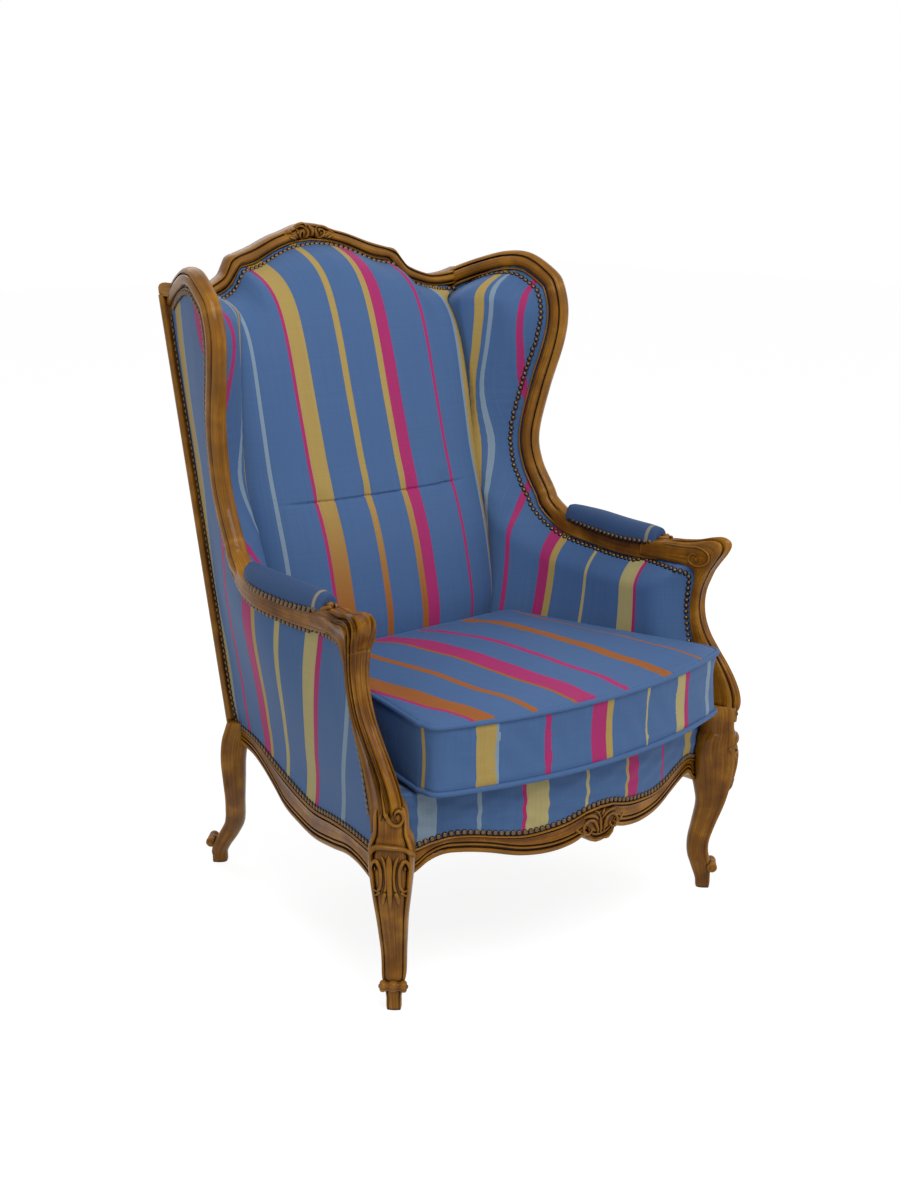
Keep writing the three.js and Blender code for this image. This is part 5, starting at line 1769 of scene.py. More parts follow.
    def back_cover(self) -> None:
        """The inner back, sewn through once across its middle."""
        share = np.linspace(-1, 1, 141)
        rising = steps((0, 0.4, 0.53, 0.8, 1), (40, 54, 26, 30))[:, None]
        z = lerp(self.deck_top_z + 0.0005, self.tuck_z(share * 0.262), rising)
        x = share * (np.minimum(self.back_edge(z), 0.266) - 0.0006)
        y = self.back_y(x, z) + 0.011 * np.abs(share) ** 22
        piece = build_mesh("back_cover", [Patch(stacked(x, y, z), stacked(x, z))], self.back)
        seat_piece(piece, ["back_pad"])

    def rear_cover(self) -> None:
        """The plain outside back between the posts."""
        lines = self.lines
        share = np.linspace(0, 1, 60)[:, None]
        x = np.linspace(-1, 1, 60) * lerp(lines.post_x[0] - 0.012, lines.post_x[1] - 0.014, share)
        z = lerp(self.rear_low_z, self.tuck_z(x), share)
        post_y = lines.post_at(z)[1]
        up = ease(lines.rail_z[1], lines.height, z)
        off = lerp(lines.post_half[1], lines.crest_rear_y(x, z) - post_y, up)
        points = stacked(x, post_y + off - 0.001, z)
        piece = build_mesh("back_outer_cover", [Patch(points, stacked(x, z))], self.rear)
        seat_piece(piece, ["back_panel"])

    def border_y(self, x: Array, z: Array) -> Array:
        """The y of the deck's front border, with shallow drag folds.

        Args:
            x: places across the border.
            z: their heights.

        Returns:
            The y of each place.
        """
        lines = self.lines
        low = lines.front_high(np.abs(x) / lines.front_rail_half)
        up = np.clip((z - low) / (self.deck_top_z - low), 0, 1)
        folds = 0.0008 * ripple(z + 0.28 * x, pitch=0.024) * np.sin(np.pi * up) ** 0.6
        folds += 0.0008 * ripple(z - 0.4 * x + 0.2 * x * x, pitch=0.031) * np.sin(np.pi * up)
        belly = 0.0045 * np.sin(np.pi * np.clip(up * 0.9, 0, 1)) ** 0.7
        return lines.front_face_y(x) + 0.0042 - belly - folds

    def deck(self) -> None:
        """The seat deck, its front border lapping down to the rail under a rolled lip."""
        lines = self.lines
        x = np.linspace(-1, 1, 161) * (lines.front_rail_half + 0.008)
        low = lines.front_high(np.abs(x) / lines.front_rail_half) - 0.001
        edge_z = self.deck_top_z - self.deck_edge
        rows, runs = [], []
        for up in np.linspace(0, 1, 26):
            z = lerp(low, edge_z, up)
            rows.append(stacked(x, self.border_y(x, z), z))
            runs.append(stacked(x, z))
        edge_y = self.border_y(x, np.full_like(x, edge_z))
        for angle in np.linspace(0.25, 1, 8) * math.pi / 2:
            z = edge_z + self.deck_roll * math.sin(angle)
            y = edge_y - 0.0015 * math.sin(2 * angle) + self.deck_roll * (1 - math.cos(angle))
            rows.append(stacked(x, y, z))
            runs.append(stacked(x, z + self.deck_roll * angle))
        front_y = rows[-1][:, 1]
        for share in np.linspace(0.02, 1, 24):
            y = lerp(front_y, lines.from_feet(0.4), share)
            across = x * lerp(1.0, 0.74, share)
            z = self.deck_top_z - 0.001 - 0.003 * np.sin(np.pi * min(share * 3, 1))
            rows.append(stacked(across, y, z))
            runs.append(stacked(across, z + y - front_y))
        piece = build_mesh("seat_deck_cover", [Patch(np.stack(rows), np.stack(runs))], self.front)
        seat_piece(piece, ["seat_deck"])

    def build(self) -> None:
        """Makes every tight cover."""
        self.pads()
        self.panels()
        self.back_cover()
        self.rear_cover()
        self.deck()


# Nails


@dataclass
class Nailing:
    """Rows of close-set dome nails along the edges of the covers.

    Attributes:
        lines: the chair's lines.
        covers: the covers that they hold.
        bronze: their finish.
        radius: of one head.
        high: its dome above the cloth.
        pitch: from one nail to the next.
        sides: corners of one head.
        nail_off: from the wood's edge to a nail's middle.
        edge_gap: the same above or below a rail's edge.
        proud: how far nails lie out of the side covers, and `sink` how far into the others.
        head_back: where the arm's row gives way to that of the arm's head.
        wood_edge: the inner edge of arm head and support, as places back and heights.
        rings: radius and height of the head's rings, as shares.
    """

    lines: ChairLines
    covers: Upholstery
    bronze: Material
    radius: float = 0.0046
    high: float = 0.0031
    pitch: float = 0.0097
    sides: int = 10
    nail_off: float = 0.0034
    edge_gap: float = 0.0042
    proud: float = 0.0005
    sink: float = 0.0004
    head_back: float = 0.158
    rail_back: tuple[float, float] = (0.028, 0.486)
    front_half: float = 0.316
    end_z: tuple[float, float] = (0.252, 0.31)
    crest_half: float = 0.262
    rear_z: tuple[float, float] = (0.27, 0.955)
    post_inset: float = 0.0185
    rings: tuple = ((1.0, -0.25), (1.0, 0.1), (0.86, 0.48), (0.55, 0.84), (0.22, 0.985))
    wood_edge: tuple = (
        (0.15, 0.5405), (0.128, 0.5395), (0.104, 0.538), (0.084, 0.5365), (0.068, 0.534), (0.0585, 0.527),
        (0.0555, 0.515), (0.0555, 0.5), (0.056, 0.468), (0.053, 0.446), (0.047, 0.422), (0.039, 0.398),
        (0.031, 0.374), (0.026, 0.351), (0.023, 0.33), (0.022, 0.296),
    )

    def dome(self) -> tuple[Array, list[tuple[int, ...]], Array]:
        """One nail at the origin with its crown along +Z.

        Returns:
            Its vertices, its faces and each vertex's share of its height.
        """
        turn = np.arange(self.sides) / self.sides * 2 * math.pi
        radius, up = np.array(self.rings).T[..., None]
        radius = radius * self.radius
        rings = stacked(radius * np.cos(turn), radius * np.sin(turn), up * self.high)
        points = np.append(rings.reshape(-1, 3), [[0.0, 0.0, self.high]], axis=0)
        faces: list[tuple[int, ...]] = []
        last = (len(self.rings) - 1) * self.sides
        for start in range(0, last, self.sides):
            for i in range(self.sides):
                k = (i + 1) % self.sides
                faces.append((start + i, start + k, start + self.sides + k, start + self.sides + i))
        faces.extend((last + i, last + (i + 1) % self.sides, len(points) - 1) for i in range(self.sides))
        return points, faces, np.clip(points[:, 2] / self.high, 0, 1)

    def spread(self, line: Array, normals: Array) -> tuple[Array, Array]:
        """Nail places at an even pitch along a line, with the normals there.

        Args:
            line: the line.
            normals: its normals, one each or one for all.

        Returns:
            The places and their normals.
        """
        count = max(int(np.linalg.norm(np.diff(line, axis=0), axis=1).sum() / self.pitch) + 1, 2)
        both = np.concatenate([line, np.broadcast_to(normals, line.shape)], axis=1)
        places = spaced(both, count, measured=3)
        return places[:, :3], unit(places[:, 3:])

    def row(
        self, name: str, runs: Sequence[tuple[Array, Array]],
        side: Side = Side.RIGHT, nodes: Sequence[str] = (),
    ) -> None:
        """One mesh with the nails of several lines.

        Args:
            name: the piece's name.
            runs: pairs of line and normals, drawn for the right.
            side: the side that they are put on.
            nodes: the nodes it stands for.
        """
        dome, faces, share = self.dome()
        parts = [self.spread(line * side.flip, normals * side.flip) for line, normals in runs]
        centres, ups = (np.concatenate(pair)[:, None] for pair in zip(*parts))
        aside = unit(np.cross(ups, np.where(np.abs(ups[..., 2:]) < 0.9, UP, ACROSS)))
        other = np.cross(ups, aside)
        verts = centres + dome[:, :1] * aside + dome[:, 1:2] * other + dome[:, 2:] * ups
        starts = range(0, len(centres) * len(dome), len(dome))
        mesh = bpy.data.meshes.new(name)
        all_faces = [tuple(v + start for v in face) for start in starts for face in faces]
        mesh.from_pydata(verts.reshape(-1, 3).tolist(), [], all_faces)
        corners = read_rows(mesh.loops, "vertex_index", 1, np.int32)
        # each corner's share of its dome's height, which the nail finish turns into painted shade low on the
        # dome
        up = np.tile(share, len(centres))[corners]
        set_runs(mesh, stacked(up, up))
        mesh.materials.append(self.bronze)
        mesh.shade_smooth()
        piece = add_object(name, mesh)
        face_outwards(piece)
        seat_piece(piece, nodes)

    def on_cover(self, surface: Surface, y: Array, z: Array, way: float) -> tuple[Array, Array]:
        """A line of nails on a side's cover.

        Args:
            surface: gives the cover's x at y and z.
            y: places along the line.
            z: their heights.
            way: 1 for nails that look outwards, -1 for inwards.

        Returns:
            The line and its normals.
        """
        return stacked(surface(y, z) + way * self.proud, y, z), slope_normals(surface, y, z) * way

    def beside(self, line: Array, off: float) -> tuple[Array, Array]:
        """y and z of a line moved inwards from the side's wood by off."""
        step = unit(np.gradient(line[:, 1:], axis=0))
        inward = np.stack([-step[:, 1], step[:, 0]], axis=1)
        return line[:, 1] + inward[:, 0] * off, line[:, 2] + inward[:, 1] * off

    def side_rows(self) -> None:
        """Nails inside and outside along the wings, arms and supports, rails and posts."""
        lines, covers = self.lines, self.covers
        wood = lines.side_line[6:]
        wood = wood[(wood[:, 1] > lines.from_feet(self.head_back)) | (wood[:, 2] > lines.wing_top_z - 0.1)]
        upper = self.beside(wood, lines.wood_half[0] + self.nail_off)
        edge = curve_through([(0.0, lines.from_feet(back), up) for back, up in self.wood_edge], 200)
        y, z = (np.concatenate(pair) for pair in zip(upper, self.beside(edge, self.nail_off)))
        rail_y = np.linspace(*(lines.from_feet(back) for back in self.rail_back), 80)
        rail_z = lines.side_high(np.clip(lines.side_run(rail_y), 0, 1)) + self.edge_gap
        post_z = np.linspace(0.293, lines.side_line[0, 2] - 0.033, 60)
        post_y = lines.post_at(post_z)[1] + 0.0035
        inner = [self.on_cover(covers.pad_x, y, z, -1.0)]
        places = ((y, z), (rail_y, rail_z), (post_y, post_z))
        outer = [self.on_cover(covers.panel_x, *place, 1.0) for place in places]
        for side in Side:
            self.row(f"inner_nails_{side.word}", inner, side)
            self.row(f"outer_nails_{side.word}", outer, side)

    def front_row(self) -> None:
        """Nails along the front rail and up the ends of its border."""
        lines, covers = self.lines, self.covers
        x = np.linspace(-self.front_half, self.front_half, 160)
        z = lines.front_high(np.abs(x) / lines.front_rail_half) + self.edge_gap
        slope = 2 * lines.front_rail_bow * x / lines.front_rail_half**2
        normals = unit(stacked(slope, -1.0, 0.0))
        runs = [(stacked(x, covers.border_y(x, z) - self.sink, z), normals)]
        end_z = np.linspace(*self.end_z, 8)
        for side in Side:
            end_x = np.full_like(end_z, (self.front_half + 0.0005) * side.value)
            ends = stacked(end_x, covers.border_y(end_x, end_z) - self.sink, end_z)
            runs.append((ends, normals[-1:] * side.flip))
        self.row("front_border_nails", runs, nodes=["front_nail_strip"])

    def back_rows(self) -> None:
        """Nails under the crest inside, and down both sides of the outside back."""
        lines, covers = self.lines, self.covers
        x = np.linspace(-self.crest_half, self.crest_half, 160)
        z = lines.crest_low(x) - self.edge_gap
        self.row("crest_nails", [(stacked(x, covers.back_y(x, z) - self.sink, z), -BACK_NORMAL)])
        z = np.linspace(*self.rear_z, 80)
        post_x, post_y = lines.post_at(z)
        rear_y = post_y + lines.post_half[1] + self.proud
        runs = [(stacked((post_x - self.post_inset) * side.value, rear_y, z), BACK_NORMAL) for side in Side]
        self.row("outer_back_nails", runs)

    def pad_rows(self, pads: ArmPads) -> None:
        """Nails round the foot of each arm pad.

        Args:
            pads: the arm pads.
        """
        turn = np.linspace(0, 2 * math.pi, 120)
        along, aside = (np.sign(part) * np.abs(part) ** 0.45 for part in (np.cos(turn), np.sin(turn)))
        share = 0.5 - 0.5 * along
        y = self.lines.from_feet(lerp(pads.start, pads.end, share)) + 0.002 * np.sign(np.cos(turn))
        x = pads.line_at(y) + aside * (pads.half * pads.swell(share) + 0.0008)
        line = stacked(x, y, pads.foot_z(y) + self.edge_gap)
        normals = unit(stacked(np.sin(turn), 0.6 * np.cos(turn) ** 3, 0.2))
        for side in Side:
            self.row(f"arm_pad_nails_{side.word}", [(line, normals)], side)

    def build(self, pads: ArmPads) -> None:
        """Makes every row."""
        self.side_rows()
        self.front_row()
        self.back_rows()
        self.pad_rows(pads)


# Loose soft pieces


def inflate(
    piece: Piece, pin: Callable[[Array], Array], cap: float, voxel: float, pressure: float
) -> None:
    """Swells a closed cover with a cloth simulation and leaves the result in its mesh.

    Args:
        piece: the cover, drawn a little under its final size.
        pin: how firmly each vertex is held, 0 to 1, from its place.
        cap: the furthest that a vertex may move, in metres.
        voxel: the size of the even mesh that is simulated.
        pressure: of the stuffing.
    """
    even = piece.modifiers.new("even", "REMESH")
    even.mode = "VOXEL"
    even.voxel_size = voxel
    keep_result(piece)
    start = vertex_places(piece.data)
    held = pin(start)
    group = piece.vertex_groups.new(name="seams")
    for index in np.flatnonzero(held > 0).tolist():
        group.add([index], float(held[index]), "REPLACE")
    cloth = piece.modifiers.new("stuffing", "CLOTH")
    cloth.settings.use_pressure = True
    cloth.settings.uniform_pressure_force = pressure
    cloth.settings.effector_weights.gravity = 0
    cloth.settings.vertex_group_mass = group.name
    cloth.settings.quality = CLOTH_QUALITY
    cloth.collision_settings.use_collision = False
    for frame in range(1, CLOTH_FRAMES + 1):
        bpy.context.scene.frame_set(frame)
    keep_result(piece)
    moved = vertex_places(piece.data) - start
    length = np.linalg.norm(moved, axis=1, keepdims=True)
    set_vertex_places(piece.data, start + moved * np.tanh(length / cap) * cap / np.maximum(length, 1e-9))
    bpy.context.scene.frame_set(1)
    finer = piece.modifiers.new("finer", "SUBSURF")
    finer.levels = 1
    keep_result(piece)


def keep_result(piece: Piece) -> None:
    """Replaces a piece's mesh with what its modifiers make of it, and drops them.

    Args:
        piece: the piece.
    """
    seen = piece.evaluated_get(bpy.context.evaluated_depsgraph_get())
    mesh = bpy.data.meshes.new_from_object(seen)
    piece.modifiers.clear()
    piece.data = mesh


def read_rows(items: bpy.types.bpy_prop_collection, key: str, width: int, kind: type = np.float32) -> Array:
    """One attribute of every vertex, corner or face of a mesh, one row each."""
    flat = np.zeros(len(items) * width, kind)
    items.foreach_get(key, flat)
    return flat if width == 1 else flat.reshape(-1, width).astype(float)


def vertex_places(mesh: Mesh) -> Array:
    """Every vertex of a mesh, one row each."""
    return read_rows(mesh.vertices, "co", 3)


def set_vertex_places(mesh: Mesh, places: Array) -> None:
    """Moves every vertex of a mesh."""
    mesh.vertices.foreach_set("co", places.astype(np.float32).ravel())
    mesh.update()


def lay_pattern(
    mesh: Mesh, materials: Sequence[Material],
    pick: Callable[[Array], Array], run: Callable[[Array, Array], Array],
) -> None:
    """Gives a simulated mesh its finishes and the lengths that their patterns follow.

    Args:
        mesh: the mesh.
        materials: the finishes.
        pick: the finish's number for each face, from the faces' middles.
        run: the lengths across and along the cloth at each corner, from its place and its face's finish.
    """
    mesh.materials.clear()
    for material in materials:
        mesh.materials.append(material)
    picked = pick(read_rows(mesh.polygons, "center", 3)).astype(np.int32)
    mesh.polygons.foreach_set("material_index", picked)
    sizes = read_rows(mesh.polygons, "loop_total", 1, np.int32)
    corners = read_rows(mesh.loops, "vertex_index", 1, np.int32)
    set_runs(mesh, run(vertex_places(mesh)[corners], np.repeat(picked, sizes)))
    mesh.shade_smooth()


@dataclass
class SeatCushion:
    """The loose seat cushion: a crowned top, a boxing between two piped seams and a flat underside.

    Attributes:
        lines: the chair's lines.
        covers: the tight covers that it lies between.
        top: satin of its top and underside.
        boxing: satin of its boxing.
        piping: satin of its piping.
        front_half: half its width at the front.
        low_z: its underside; its seams lie at `welt_low_z` and `welt_high_z`.
        welt_r: half the piping's thickness.
        crown: how far its top rises over the upper seam.
        corner_back: where its front corners lie, with a front that bows out by `nose`.
        corner_round: how far from a corner its rounding starts.
        rear_back: where its rear edge lies.
        clear: how far its rear corners stay off the side pads.
        pull_in: how far its sides are hollow.
        swell: how much of the crown is left to the simulation.
        stray: how far the stripes lean aside at the front, between the places `stray_y`.
        seam_reach: how near the outline, and `seam_half` how near a seam's height, the cloth is held.
        room: how far the boxing may swell out at the front, and at the sides and rear.
    """

    lines: ChairLines
    covers: Upholstery
    top: Material
    boxing: Material
    piping: Material
    front_half: float = 0.307
    low_z: float = 0.3203
    welt_low_z: float = 0.327
    welt_high_z: float = 0.425
    welt_r: float = 0.004
    crown: float = 0.025
    corner_back: float = -0.052
    nose: float = 0.06
    corner_round: float = 0.022
    rear_back: float = 0.36
    clear: float = 0.002
    pull_in: float = 0.003
    swell: float = 0.012
    stray: float = 0.017
    stray_y: tuple[float, float] = (-0.24, -0.335)
    seam_reach: float = 0.014
    seam_half: float = 0.007
    room: tuple[float, float] = (0.003, -0.0006)

    def __post_init__(self) -> None:
        """Draws the outline, seen from above, and the lengths along it from its front middle."""
        near, far = self.lines.from_feet(self.corner_back), self.lines.from_feet(self.rear_back)
        wide = self.front_half
        rear_half = float(self.covers.pad_x(np.array(far), np.array(self.low_z))) - self.clear
        r = self.corner_round
        lean = (wide - rear_half) / (far - near) * r
        x = np.linspace(0, wide - r, 40)
        front = stacked(x, near - self.nose * (1 - (x / wide) ** 2))
        first = self.bend(front[-1], (wide, near), (wide - lean, near + r))
        s = np.linspace(0, 1, 40)[1:-1]
        hollow = self.pull_in * np.sin(np.pi * s)
        side = stacked(lerp(wide, rear_half, s) - hollow, lerp(near + r, far - r, s))
        second = self.bend((rear_half + lean, far - r), (rear_half, far), (rear_half - r, far))
        rear = stacked(np.linspace(rear_half - r, 0, 24)[1:], far)
        half = np.concatenate([front, first[1:], side, second, rear])
        whole = np.concatenate([half, half[1:-1][::-1] * np.array([-1, 1])])
        self.middle = np.array([0, (near + far) / 2])
        loop = spaced(np.concatenate([whole, whole[:1]]), 361)
        self.outline = loop[:-1]
        self.outwards = unit(self.outline - self.middle)
        around = np.concatenate([[0], np.cumsum(np.linalg.norm(np.diff(loop, axis=0), axis=1))])
        self.around = np.where(around[:-1] > around[-1] / 2, around[:-1] - around[-1], around[:-1])

    @staticmethod
    def bend(start: Sequence[float], corner: Sequence[float], end: Sequence[float]) -> Array:
        """A round corner between two points."""
        t = np.linspace(0, 1, 9)[:, None]
        return (1 - t) ** 2 * np.array(start) + 2 * t * (1 - t) * np.array(corner) + t**2 * np.array(end)

    def ring(self, share: float, z: float, inset: float = 0.0) -> Array:
        """The outline as a share of its size, drawn in by an inset, at a height."""
        out = self.outline - self.middle
        reach = np.linalg.norm(out, axis=1, keepdims=True)
        return np.insert(out * share * (1 - inset / reach) + self.middle, 2, z, axis=1)

    def start_shape(self) -> Patch:
        """The cushion before it is stuffed."""
        low, high = self.welt_low_z, self.welt_high_z
        rings = [self.ring(share, self.low_z) for share in (0.02, 0.3, 0.6, 0.9)]
        rings += [self.ring(1, self.low_z + 0.002, 0.008), self.ring(1, low, self.welt_r)]
        for share in (0.2, 0.4, 0.6, 0.8):
            rings.append(self.ring(1, lerp(low, high, share), 0.0045 + 0.004 * math.sin(math.pi * share)))
        rings.append(self.ring(1, high, self.welt_r))
        for share in (0.985, 0.95, 0.88, 0.78, 0.66, 0.52, 0.38, 0.24, 0.1, 0.02):
            rings.append(self.ring(share, high + self.welt_r + (self.crown - self.swell) * (1 - share**3.0)))
        return solid(np.stack(rings))

    def nearest(self, places: Array) -> tuple[Array, Array]:
        """For each place, the number of the outline's nearest point and how far off it is, from above.

        Args:
            places: the places.

        Returns:
            The point's number and the distance, for each place.
        """
        picked = np.zeros(len(places), int)
        away = np.zeros(len(places))
        for start in range(0, len(places), NEAREST_BATCH):
            batch = slice(start, start + NEAREST_BATCH)
            gap = np.linalg.norm(places[batch, None, :2] - self.outline[None], axis=2)
            picked[batch] = gap.argmin(axis=1)
            away[batch] = gap.min(axis=1)
        return picked, away

    def held(self, places: Array) -> Array:
        """The seams and the underside hold still; the rest may swell.

        Args:
            places: the vertices before the simulation.

        Returns:
            1 for each vertex that holds still, else 0.
        """
        _, away = self.nearest(places)
        z = places[:, 2]
        from_seam = np.minimum(np.abs(z - self.welt_low_z), np.abs(z - self.welt_high_z))
        at_seam = (away < self.seam_reach) & (from_seam < self.seam_half)
        return np.where(at_seam | (z < self.welt_low_z - 0.002), 1.0, 0.0)

    def settle(self, places: Array) -> Array:
        """Keeps the stuffed cushion off the deck and the side pads, and lays soft folds in its front.

        Args:
            places: the vertices after the simulation, which are changed.

        Returns:
            The same vertices, settled.
        """
        picked, away = self.nearest(places)
        out = self.outwards[picked]
        proud = ((places[:, :2] - self.outline[picked]) * out).sum(axis=1)
        room = np.where(places[:, 1] < self.lines.from_feet(-0.03), *self.room)
        places[:, :2] -= out * np.maximum(proud - room, 0)[:, None]
        x, y, z = places.T
        high = np.clip((z - self.welt_low_z) / (self.welt_high_z - self.welt_low_z), 0, 1)
        border = bell(away, 0.012) * np.sin(np.pi * high)
        folds = 0.0011 * ripple(x * 1.15 + 0.9 * z + 0.02 * np.sin(9 * x), pitch=0.062)
        places[:, :2] += out * (border * folds * np.sin(x * 13 + 0.6))[:, None]
        on_top = ease(self.welt_high_z, self.welt_high_z + 0.012, z)
        soft = np.sin(x * 21 + 2.2 * np.sin(y * 17)) * np.sin(y * 19 + 1.3 * np.sin(x * 11))
        places[:, 2] += 0.0012 * on_top * soft - 0.0016 * on_top * bell(away - 0.03, 0.02)
        places[:, 2] = np.clip(places[:, 2], self.low_z, self.welt_high_z + self.welt_r + self.crown + 0.002)
        return places

    def runs(self, corners: Array, finish: Array) -> Array:
        """Stripes run from front to back over the top, and up and down round the boxing.

        Args:
            corners: the place of each corner of each face.
            finish: the number of its face's finish.

        Returns:
            The lengths across and along the cloth.
        """
        picked, _ = self.nearest(corners)
        x, y, z = corners.T
        top = stacked(x - self.stray * ease(*self.stray_y, y), y)
        return np.where(finish[:, None] == 1, stacked(self.around[picked], z), top)

    def faces(self, middles: Array) -> Array:
        """1 on the boxing, 0 on the top and underside."""
        between = (middles[:, 2] > self.welt_low_z) & (middles[:, 2] < self.welt_high_z + 0.001)
        _, away = self.nearest(middles)
        return (between & (away < 0.03)).astype(int)

    def welts(self) -> None:
        """The piping sewn into both seams."""
        turn = np.linspace(0, 2 * math.pi, 13)[:-1, None]
        out = np.insert(self.outwards, 2, 0, axis=1)[:, None]
        for name, z in (("low", self.welt_low_z), ("high", self.welt_high_z)):
            line = self.ring(1, z, self.welt_r)[:, None]
            ring = line + self.welt_r * (np.cos(turn) * out + np.sin(turn) * UP)
            patch = Patch(np.concatenate([ring, ring[:1]]), closed=True)
            piece = build_mesh(f"cushion_piping_{name}", [patch], self.piping)
            face_outwards(piece)
            seat_piece(piece, [f"cushion_welt_{name}"], CUSHION_BODY)

    def build(self) -> None:
        """Makes the cushion and its piping."""
        piece = build_mesh("seat_cushion_cover", [self.start_shape()], self.top)
        face_outwards(piece)
        inflate(piece, self.held, cap=0.022, voxel=0.006, pressure=5.0)
        places = self.settle(vertex_places(piece.data))
        set_vertex_places(piece.data, places)
        lay_pattern(piece.data, [self.top, self.boxing], self.faces, self.runs)
        seat_piece(piece, ["seat_cushion"], CUSHION_BODY)
        self.welts()


@dataclass
class ArmPads:
    """The stuffed pads on the arms.

    Attributes:
        lines: the chair's lines.
        cover: their plain cloth.
        start: how far back a pad starts, and `end` where it ends.
        half: half its width.
        high: its crown above the wood.
        seat: how far up the wood its edge is tacked, as a share of half the wood's width.
    """

    lines: ChairLines
    cover: Material
    start: float = 0.322
    end: float = 0.122
    half: float = 0.0235
    high: float = 0.0275
    seat: float = 0.6

    def arm_height(self, y: Array) -> Array:
        """The height of the arm's middle line at y."""
        line = self.lines.side_line[self.lines.side_line[:, 1].argsort()]
        low = line[line[:, 2] < self.lines.arm_z + 0.1]
        return np.interp(y, low[:, 1], low[:, 2])

    def swell(self, share: Array | float) -> Array:
        """How full the pad is at a share of its length."""
        return lerp(0.55, 1.0, np.sin(np.pi * np.clip(share, 0.02, 0.98)) ** 0.35)

    def foot_z(self, y: Array) -> Array:
        """The height of the pad's tacked edge at y."""
        return self.arm_height(y) + self.lines.wood_half[0] * self.seat

    def ring(self, share: float) -> Array:
        """One section of the pad, from its underside over its crown.

        Args:
            share: the section's place, as a share of the pad's length.

        Returns:
            Its points.
        """
        y = self.lines.from_feet(lerp(self.start, self.end, share))
        swell = float(self.swell(share))
        tall = self.lines.wood_half[0] * (1 - self.seat) + self.high * swell
        angle = np.linspace(-0.16, 1.16, 19) * math.pi
        up = self.foot_z(np.array(y)) + np.maximum(np.sin(angle), 0.0) ** 0.8 * tall
        return stacked(self.line_at(y) + np.cos(angle) * self.half * swell, y, up)

    def line_at(self, y: Array | float) -> Array:
        """The pad's middle x at y."""
        return self.lines.side_x(y, self.lines.arm_z)

    def held(self, places: Array) -> Array:
        """The tacked lower edge holds still."""
        return np.where(places[:, 2] < self.foot_z(places[:, 1]) + 0.004, 1.0, 0.0)

    def runs(self, corners: Array, _: Array) -> Array:
        """The stripes cross the pad, near its front end."""
        return stacked(corners[:, 1] - self.lines.from_feet(self.end), corners[:, 0])

    def build(self) -> None:
        """Makes both pads."""
        rings = np.stack([self.ring(share) for share in np.linspace(0, 1, 45)])
        piece = build_mesh("arm_pad_cover_right", [solid(rings)], self.cover)
        face_outwards(piece)
        inflate(piece, self.held, cap=0.005, voxel=0.003, pressure=4.0)
        lay_pattern(piece.data, [self.cover], lambda middles: np.zeros(len(middles)), self.runs)
        other = add_object("arm_pad_cover_left", piece.data.copy())
        set_vertex_places(other.data, vertex_places(piece.data) * Side.LEFT.flip)
        other.data.flip_normals()
        for side, cover in zip(Side, (piece, other)):
            seat_piece(cover, [f"arm_pad_{side.word}"])


# Studio


